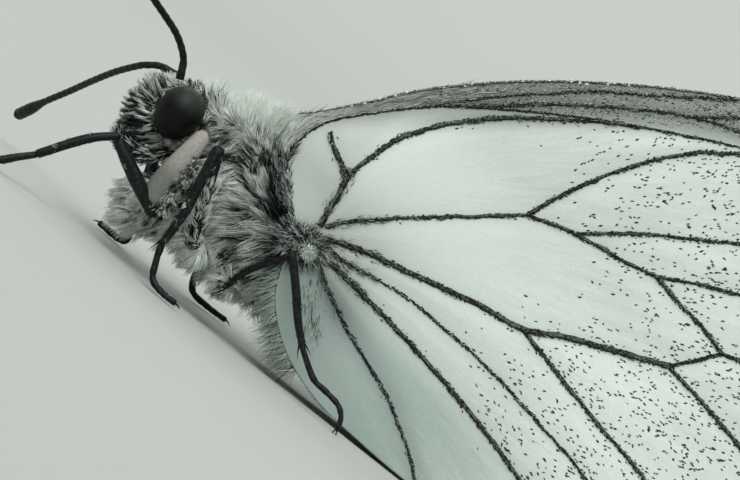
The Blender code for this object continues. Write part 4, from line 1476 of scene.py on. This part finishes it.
for number, (label, side) in enumerate(SIDES.items()):
    tube_coat(f"{label}_palp_hair", "fur", 30 + number, palp_paths[label], PALP_HAIR, per_lock=4)
    path = path_through(SPECKLED_BAND, side, BAND_STEP)
    band = path, np.full(len(path), BAND_RADIUS)
    tube_coat(f"fore_{label}_hip_hair", "fur", 33 + number, band, BAND_HAIR, per_lock=3, pull=0.4, stray=0.6)
    turn = np.linspace(0, 2 * math.pi, RIM_PLACES)
    path = np.column_stack([
        EYE_CENTRE.x + (EYE_RADII.x + RIM_GAP) * np.cos(turn),
        np.full(RIM_PLACES, (EYE_CENTRE.y - RIM_GAP) * side),
        EYE_CENTRE.z + (EYE_RADII.z + RIM_GAP) * np.sin(turn),
    ])
    rim = path, np.full(RIM_PLACES, RIM_RADIUS)
    tube_coat(f"{label}_eye_rim_hair", "fur", 36 + number, rim, RIM_HAIR, per_lock=3, pull=0.3)
for number, leg in enumerate(LEGS):
    for length, measures in BRISTLES.items():
        if leg.startswith("mid"):
            measures = {"femur": PALE_THIGH, "tibia": PALE_SHIN}.get(length, measures)
        tube_coat(f"{leg}_{length}_hair", "leg", 40 + number, leg_paths[leg, length], measures)
print("pieces so far:", len(made))

# %% [markdown]
# ## Black scales along the veins
# A vein looks rough because it is clothed in loose black scales. Those in the middle lie along it, and
# those at its sides point outwards like barbs. On a broad vein, the scales from the middle towards one side
# are greyer than the rest: partly grey scales, partly a painted highlight on the lit side of the rounded
# vein.
# The outer face of each wing gets one mesh of them. Their map is the wing itself, laid out flat.

# %% Scales on the veins
SCALE_SPACING = {"hindwing": 0.021, "forewing": 0.036}
SCALE_SIZE = np.array([0.145, 0.052, 0.012])  # length, width, thickness
BARB_ANGLE = math.radians(22)
CLUMP = 0.38  # how far it is from one clump of scales to the next
BLACK_SCALE = np.array([0.008, 0.010, 0.009])
# grey scales, and the painted highlight on one side of broad veins
GREY_AND_LIT_SCALE = np.array([0.165, 0.185, 0.17])
STRAY_SCALES = 0.035  # the share that lies beside its vein
LIFT_STEP = 0.02  # neighbours differ in height by up to this much, so that they overlap like tiles
FACE = MEMBRANE_THICKNESS / 2
MAP_CORNER, MAP_SIZE = [-4.0, 0.0], [34.0, 27.0]  # of the part of the side view that holds the wings


def wing_places(xz, side):
    """The scales' map: both wings of a pair laid out flat, one above the other."""
    flat = (xz - MAP_CORNER) / MAP_SIZE
    return (flat * [1, 0.5] + [0, 0.5 * (side > 0)]) * (1 - BAKE_PATCH)


def wing_piece(kind, wing, label, copies, colours, xz, slot="wing"):
    """One piece of scales or hair on the outer face of a wing."""
    name = f"{wing.kind}_{label}_{kind}"
    mesh = joined_copies(name, *copies, colours, wing_places(xz, SIDES[label]))
    finish_piece(name, mesh, scale_finish, slot)
    print(name, "copies:", len(xz), "triangles:", len(mesh.polygons))


def flat_scales(wing, side, xz, heading, sizes, lift, tilt=0.0):
    """Scales that lie on the outer face of a wing, pointing the way of heading in x and z."""
    outward = wing.outward(xz, side)
    along = np.column_stack([heading[:, 0], np.zeros(len(heading)), heading[:, 1]])
    along = unit(along - outward * (along * outward).sum(axis=1, keepdims=True)) + outward * tilt
    return scale_copies(wing.points(xz, side, lift), along, outward, sizes)


def turned_by(heading, angle):
    """Directions in x and z, each turned by an angle."""
    cos, sin = np.cos(angle), np.sin(angle)
    return np.column_stack([
        heading[:, 0] * cos - heading[:, 1] * sin, heading[:, 0] * sin + heading[:, 1] * cos,
    ])


def left_of(heading):
    """Directions a quarter turn from the given ones."""
    return np.column_stack([-heading[:, 1], heading[:, 0]])


# %% Scales of one vein, and of one wing
def scales_along(rng, line, start, end, spacing):
    """Places, headings, lifts and chances of being grey, as grey scales and painted highlight, for the scales
    of one vein.
    """
    fine = evenly(line, spacing)
    count = len(fine)
    heading = headings(fine)
    half = np.linspace(start, end, count)
    across = rng.uniform(-1, 1, count)
    across = np.sign(across) * np.abs(across) ** 0.7
    knots = np.linspace(0, count - 1, max(3, int(count * spacing / CLUMP)))
    ripple, grey_and_lit, sway = (np.interp(np.arange(count), knots, rng.uniform(*span, len(knots)))
                              for span in ((0.6, 1.25), (-0.1, 1.5), (-0.3, 0.3)))
    beside = np.where(rng.random(count) < STRAY_SCALES, rng.uniform(1.5, 3.0, count), 1.0)
    spots = fine + left_of(heading) * ((across * ripple * beside + sway) * half)[:, None]
    ways = turned_by(heading, across * BARB_ANGLE + rng.normal(0, 0.16, count))
    height = half * VEIN_FLAT * np.sqrt(1 - np.clip(np.abs(across), 0, 0.97) ** 2) * 0.9
    height = np.where(beside > 1, 0, height)
    # on a broad vein the scales from the middle towards one side are grey: partly grey scales, partly a
    # painted highlight
    upper = (across > -0.2) & (across < 0.8)
    middle = ease((half - 0.03) / 0.07) * upper * grey_and_lit.clip(0, 1)
    return spots, ways, FACE + height + LIFT_STEP * rng.random(count), middle


def vein_scales(wing, label, side, seed):
    """The scales of all the veins of one wing."""
    rng = np.random.default_rng(seed)
    found = []
    for vein, line in wing.lines.items():
        spacing = SCALE_SPACING[wing.kind] / LOOSE_VEINS.get(vein, 1.0)
        found.append(scales_along(rng, *line, spacing))
    xz, ways, lifts, middle = (np.concatenate(column) for column in zip(*found))
    sizes = SCALE_SIZE * rng.uniform([0.6, 0.7, 1], [1.25, 1.3, 1], (len(xz), 3))
    # a few scales are grey anywhere; the rest of the grey is the painted highlight of broad veins
    grey = rng.random(len(xz)) < 0.03 + 0.95 * middle
    colours = np.where(grey[:, None], GREY_AND_LIT_SCALE, BLACK_SCALE) * rng.uniform(0.5, 1.4, (len(xz), 1))
    wing_piece("vein_scales", wing, label, flat_scales(wing, side, xz, ways, sizes, lifts, 0.06), colours, xz)


# %% [markdown]
# ## Loose black scales between the veins
# The inner half of the wing is clean. Further out, single black scales dust it more and more thickly,
# and all lie along the rays from the root. They begin nearer the root in the lower half. The front edge
# of the forewing is peppered with dark and white ones, and its inner part carries a row of white beads.

# %% Dusting
DUST_START, DUST_RUN, LOWER_LEAD = 9.3, 9.0, 2.9  # distances from the root of the wing
DUST_DENSITY = {"hindwing": 19.5, "forewing": 9.0}  # scales in a square millimetre, where it is full
SPECK_SIZE = np.array([0.17, 0.075, 0.015])
PEPPER_COUNT, PEPPER_START, PEPPER_DEPTH = 3000, 0.3, 1.7
BEAD_SPACING, BEAD_SIZE, BEADS_END = 0.3, np.array([0.2, 0.12, 0.08]), 9.0
HIDDEN_END, HIDDEN_TOP = 22, (16, 0.35)  # the part of the forewing behind the hindwing has no dust
DUST_LIFT = 0.008


def inside_outline(wing, xz):
    """Whether places are on the wing, by counting how often a line to the right crosses its edge."""
    inside = np.zeros(len(xz), bool)
    for (x1, z1), (x2, z2) in zip(wing.edge, np.roll(wing.edge, -1, axis=0)):
        if z1 != z2:
            crosses = (z1 > xz[:, 1]) != (z2 > xz[:, 1])
            inside ^= crosses & (xz[:, 0] < x1 + (xz[:, 1] - z1) / (z2 - z1) * (x2 - x1))
    return inside


def dusted(wing, rng):
    """Random places that are rarer near the root, with none in the folds beside the body."""
    low, high = wing.edge.min(axis=0), wing.edge.max(axis=0)
    count = int(np.prod(high - low) * DUST_DENSITY[wing.kind])
    xz = rng.uniform(low, high, (count, 2))
    x, z = xz.T
    from_root = np.hypot(*(xz - wing.root).T)
    lower = ease((10.2 - z + 0.1 * x) / 3.0)
    chance = ease((from_root - DUST_START + LOWER_LEAD * lower) / DUST_RUN) * ease((z - 5.9 + 0.27 * x) / 0.8)
    patchy = 0.65 + 0.5 * np.sin(x * 1.9 + z) * np.sin(z * 2.3 - x * 0.7)
    keep = (rng.random(count) < chance * patchy) & inside_outline(wing, xz)
    if wing.kind == "forewing":
        height, slope = HIDDEN_TOP
        keep &= (x > HIDDEN_END) | (z > height + slope * x)
    return xz[keep]


def mixed(rng, count, share, first, second):
    """One of two colours for each hair or scale; a share of them have the first."""
    return np.where(rng.random((count, 1)) < share, first, second)


def dust(wing, label, side, seed):
    """Loose scales on one wing, and the pepper and beads on the front edge of a forewing."""
    rng = np.random.default_rng(seed)
    xz = dusted(wing, rng)
    ways = turned_by(unit(xz - wing.root), rng.normal(0, 0.3, len(xz)))
    sizes = SPECK_SIZE * rng.uniform([0.6, 0.7, 1], [1.4, 1.3, 1], (len(xz), 3))
    shades = BLACK_SCALE * 10 ** rng.uniform(0.1, 1.35, (len(xz), 1))
    if wing.kind == "forewing":
        front = wing.lines["front_edge"][0]
        along = front[front[:, 0] > PEPPER_START]
        pepper = along[rng.integers(0, len(along) - 1, PEPPER_COUNT)]
        pepper = pepper + rng.uniform([0.0, -PEPPER_DEPTH], [0.25, -0.02], (PEPPER_COUNT, 2))
        pepper_shades = mixed(rng, PEPPER_COUNT, 0.65, WING_WHITE, BLACK_SCALE * 3)
        pepper_shades = pepper_shades * rng.uniform(0.6, 1.1, (PEPPER_COUNT, 1))
        beads = evenly(front, BEAD_SPACING)
        beads = beads[(beads[:, 0] < BEADS_END) & (rng.random(len(beads)) < 0.6)] + [-0.02, 0.04]
        beads = beads + rng.normal(0, 0.04, beads.shape)
        xz = np.vstack([xz, pepper, beads])
        pepper_ways = turned_by(unit(pepper - wing.root), rng.normal(0, 0.35, PEPPER_COUNT))
        ways = np.vstack([ways, pepper_ways, unit(beads - wing.root)])
        pepper_sizes = SCALE_SIZE * rng.uniform([0.6, 0.5, 0.6], [1.4, 0.9, 0.9], (PEPPER_COUNT, 3))
        bead_sizes = BEAD_SIZE * rng.uniform(0.6, 1.2, (len(beads), 1))
        sizes = np.vstack([sizes, pepper_sizes, bead_sizes])
        shades = np.vstack([shades, pepper_shades, rng.uniform(0.5, 1.0, (len(beads), 1)) * WHITE_HAIR])
    lift = np.full(len(xz), FACE + DUST_LIFT)
    wing_piece("dust", wing, label, flat_scales(wing, side, xz, ways, sizes, lift), shades, xz)


# %% [markdown]
# ## The fringe
# Short scales stand out along the edge of each wing, dark with some white. There are none on the lowest
# edge, which all but touches the floor, and none where the forewing's edge runs into the body.

# %% Fringe
FRINGE_SPACING, FRINGE_LOWEST = 0.05, 0.3
FRINGE_FRONT = {"hindwing": -9.0, "forewing": -2.8}  # no fringe lies further forward
PALE_FRINGE = 0.3


def fringe(wing, label, side, seed):
    """The scales that stand out from the edge of one wing."""
    rng = np.random.default_rng(seed)
    edge = evenly(wing.edge, FRINGE_SPACING)
    clear = (edge[:, 1] > FRINGE_LOWEST) & (edge[:, 0] > FRINGE_FRONT[wing.kind])
    xz, outward = edge[clear], left_of(headings(edge))[clear]
    ways = turned_by(outward, rng.normal(0.0, 0.5, len(xz)))
    sizes = SCALE_SIZE * rng.uniform([0.6, 0.7, 1.2], [1.1, 1.2, 1.2], (len(xz), 3))
    shades = mixed(rng, len(xz), PALE_FRINGE, WING_WHITE * 0.9, BLACK_SCALE * 2.0)
    shades = shades * rng.uniform(0.7, 1.1, (len(xz), 1))
    copies = flat_scales(wing, side, xz, ways, sizes, rng.uniform(-0.03, 0.03, len(xz)))
    wing_piece("fringe", wing, label, copies, shades, xz)


for number, wing in enumerate(WINGS):
    for label, side in SIDES.items():
        seed = 60 + 10 * number + side
        vein_scales(wing, label, side, seed)
        dust(wing, label, side, seed + 100)
        fringe(wing, label, side, seed + 200)

# %% [markdown]
# ## Hair at the roots of the wings
# Hair spreads from the body over the roots of the hindwings, like rays: dark with pale streaks, and one
# small tuft of pure white over the joint. Along the first few millimetres of each vein it lies in dark
# strokes. Pale hair hangs from the inner edge, and striped hair lies along the front edge of the
# forewing. Each kind is one group, and all groups of a wing make one mesh.

# %% Hair over the wing roots
FAN_MIDDLE = np.array([0.0, 5.5])
FAN_HAIRS, FAN_RADIUS, FAN_LENGTH = 2000, 0.95, (0.3, 0.7)
TUFT_PLACE, TUFT_HAIRS, TUFT_SPREAD = np.array([0.44, 5.14]), 420, 0.22
STROKE_REACH, STROKE_HAIRS = 3.4, 100  # how far from the root a vein carries hair, and how much
GROIN_HAIRS, GROIN_START, GROIN_END = 130, np.array([1.0, 4.6]), np.array([2.6, 2.5])
EDGE_HAIRS, EDGE_HEIGHTS = 700, (1.0, 4.3)  # along the inner edge of the hindwing
STRIP_LINE = [(-3.6, 7.9), (-3.42, 9.1), (-2.85, 9.98), (-1.55, 11.45), (0.22, 13.55), (1.6, 14.8)]
STRIP_HAIRS, STRIP_DEPTH = 1300, 1.3  # along the front edge of the forewing
SHOULDER_LINE = [(-2.7, 8.3), (-2.75, 7.4), (-2.3, 6.75), (-1.6, 6.2), (-0.8, 5.9)]
SHOULDER_HAIRS, SHOULDER_DEPTH = 460, 0.5  # beside the body, on the front edge of the hindwing
LINE_STEP = 0.02  # between two places where a hair of a line may start
WING_HAIR_RADIUS, WING_HAIR_SINK = 0.019, 0.04


def hair_group(rng, xz, ways, length, rise, shade):
    """Roots, directions, lengths, heights and colours of one group of hairs on a wing."""
    count = len(xz)
    colours = np.broadcast_to(shade, (count, 3)) * rng.uniform(0.7, 1.15, (count, 1))
    return xz, ways, rng.uniform(*length, count), rng.uniform(*rise, count), colours


def fan(rng):
    """Rays of dark and pale hair round the root, shorter at the top."""
    angle = rng.uniform(0, 2 * math.pi, FAN_HAIRS)
    ways = np.column_stack([np.cos(angle), np.sin(angle)])
    shorter = 1 - 0.45 * ease((np.sin(angle) - 0.1) / 0.6)
    out = rng.random(FAN_HAIRS) ** 0.7
    xz = FAN_MIDDLE + ways * (FAN_RADIUS * shorter * out)[:, None]
    wedge = np.sin(angle * 9 + 1.3) * 0.5 + np.sin(angle * 23) * 0.35 + rng.normal(0, 0.45, FAN_HAIRS)
    shade = np.where((wedge > 0.1)[:, None], GREY_HAIR * 2.2, BLACK_HAIR)
    ways = turned_by(ways, rng.normal(0, 1, FAN_HAIRS) * (1.6 - 1.3 * out))
    xz, ways, length, rise, colours = hair_group(rng, xz, ways, FAN_LENGTH, (0.03, 0.32), shade)
    return xz, ways, length * shorter, rise, colours


def tuft(rng):
    """A small round tuft of white hair that points every way."""
    spread = rng.normal(0, 1, (TUFT_HAIRS, 2))
    xz = TUFT_PLACE + unit(spread) * TUFT_SPREAD * rng.random((TUFT_HAIRS, 1)) ** 0.5
    ways = unit(rng.normal(0, 1, (TUFT_HAIRS, 2)))
    # painted light: the tuft's white is a little paler than the other white hair, as if more brightly lit
    return hair_group(rng, xz, ways, (0.12, 0.3), (0.3, 0.5), WHITE_HAIR * 1.05)


def groin(rng):
    """Grey hair that runs down between the wing and the body."""
    share = rng.random((GROIN_HAIRS, 1))
    xz = GROIN_START + (GROIN_END - GROIN_START) * share + rng.normal(0, 0.3, (GROIN_HAIRS, 2))
    ways = unit(GROIN_END - GROIN_START + rng.normal(0, 0.5, (GROIN_HAIRS, 2)))
    shade = mixed(rng, GROIN_HAIRS, 0.6, GREY_HAIR * 1.8, BLACK_HAIR * 8)
    return hair_group(rng, xz, ways, (0.25, 0.5), (0.03, 0.12), shade)


def edge_hair(rng, wing):
    """Pale hair that hangs from the inner edge of the wing, beside the body."""
    low, high = EDGE_HEIGHTS
    edge = wing.edge[(wing.edge[:, 0] < 3) & (wing.edge[:, 1] > low) & (wing.edge[:, 1] < high)]
    edge = evenly(edge[np.argsort(edge[:, 1])], LINE_STEP)
    xz = edge[rng.integers(0, len(edge), EDGE_HAIRS)] + rng.uniform([0.0, -0.1], [0.5, 0.3], (EDGE_HAIRS, 2))
    ways = unit(np.array([-0.35, -1.0]) + rng.normal(0, 0.25, (EDGE_HAIRS, 2)))
    shade = mixed(rng, EDGE_HAIRS, 0.85, GREY_HAIR * 2.3, BLACK_HAIR * 5)
    return hair_group(rng, xz, ways, (0.8, 1.6), (-0.35, 0.0), shade)


def strokes(rng, wing):
    """Hair along the inner end of each vein."""
    for line, start, _ in wing.lines.values():
        near = line[np.hypot(*(line - FAN_MIDDLE).T) < STROKE_REACH]
        if len(near) > 3:
            at = rng.integers(0, len(near) - 1, STROKE_HAIRS)
            heading = headings(near)[at]
            xz = near[at] + left_of(heading) * rng.normal(0, start * 0.7 + 0.02, STROKE_HAIRS)[:, None]
            ways = turned_by(heading, rng.normal(0, 0.22, STROKE_HAIRS))
            shade = mixed(rng, STROKE_HAIRS, 0.35, GREY_HAIR * 1.3, BLACK_HAIR)
            yield hair_group(rng, xz, ways, (0.22, 0.5), (0.05, 0.14), shade)


def strip_hair(rng):
    """Striped hair that lies along the front edge of the forewing, beside its root."""
    along = evenly(smooth_through(STRIP_LINE), LINE_STEP)
    at = (rng.random(STRIP_HAIRS) ** 1.7 * len(along)).astype(int)
    heading = headings(along)[at]
    deep = rng.random((STRIP_HAIRS, 1))
    xz = along[at] - left_of(heading) * deep * STRIP_DEPTH
    ways = turned_by(heading, rng.normal(0.05, 0.12, STRIP_HAIRS))
    dark = (np.sin(deep * 40 + rng.normal(0, 0.5, deep.shape)) > 0.65) | (rng.random(deep.shape) < 0.08)
    shade = np.where(dark, GREY_HAIR * 0.8, WHITE_HAIR * 0.8)
    return hair_group(rng, xz, ways, (0.4, 1.1), (0.0, 0.05), shade)


def shoulder_hair(rng):
    """Dark strokes on the front edge of the hindwing, where the body's hair runs out over it."""
    along = evenly(smooth_through(SHOULDER_LINE), LINE_STEP)
    at = rng.integers(0, len(along), SHOULDER_HAIRS)
    heading = headings(along)[at]
    depth = SHOULDER_DEPTH * np.sin(math.pi * at / len(along))[:, None]
    xz = along[at] + left_of(heading) * (rng.random((SHOULDER_HAIRS, 1)) ** 1.6) * depth
    ways = turned_by(-heading, rng.normal(0.15, 0.4, SHOULDER_HAIRS))
    shade = mixed(rng, SHOULDER_HAIRS, 0.35, GREY_HAIR * 1.6, BLACK_HAIR)
    return hair_group(rng, xz, ways, (0.2, 0.45), (0.03, 0.16), shade)


def root_hair(wing, label, side, seed):
    """All the hair of one wing, in one mesh."""
    rng = np.random.default_rng(seed)
    if wing.kind == "hindwing":
        groups = [fan(rng), tuft(rng), groin(rng), edge_hair(rng, wing), shoulder_hair(rng)]
        groups.extend(strokes(rng, wing))
    else:
        groups = [strip_hair(rng)]
    xz, ways, length, rise, colours = (np.concatenate(column) for column in zip(*groups))
    reach = ways * length[:, None]
    roots = wing.points(xz, side, FACE - WING_HAIR_SINK)
    bends = wing.points(xz + reach / 2, side, FACE + rise * 1.3)
    tips = wing.points(xz + reach, side, FACE + rise)
    radii = WING_HAIR_RADIUS * rng.uniform(0.7, 1.3, len(xz))
    copies = hair_copies(SHORT_HAIR, roots, bends, tips, radii)
    wing_piece("root_hair", wing, label, copies, colours, xz, "fur")


for wing in WINGS:
    for label, side in SIDES.items():
        root_hair(wing, label, side, 90 + side)
print("pieces:", len(made))
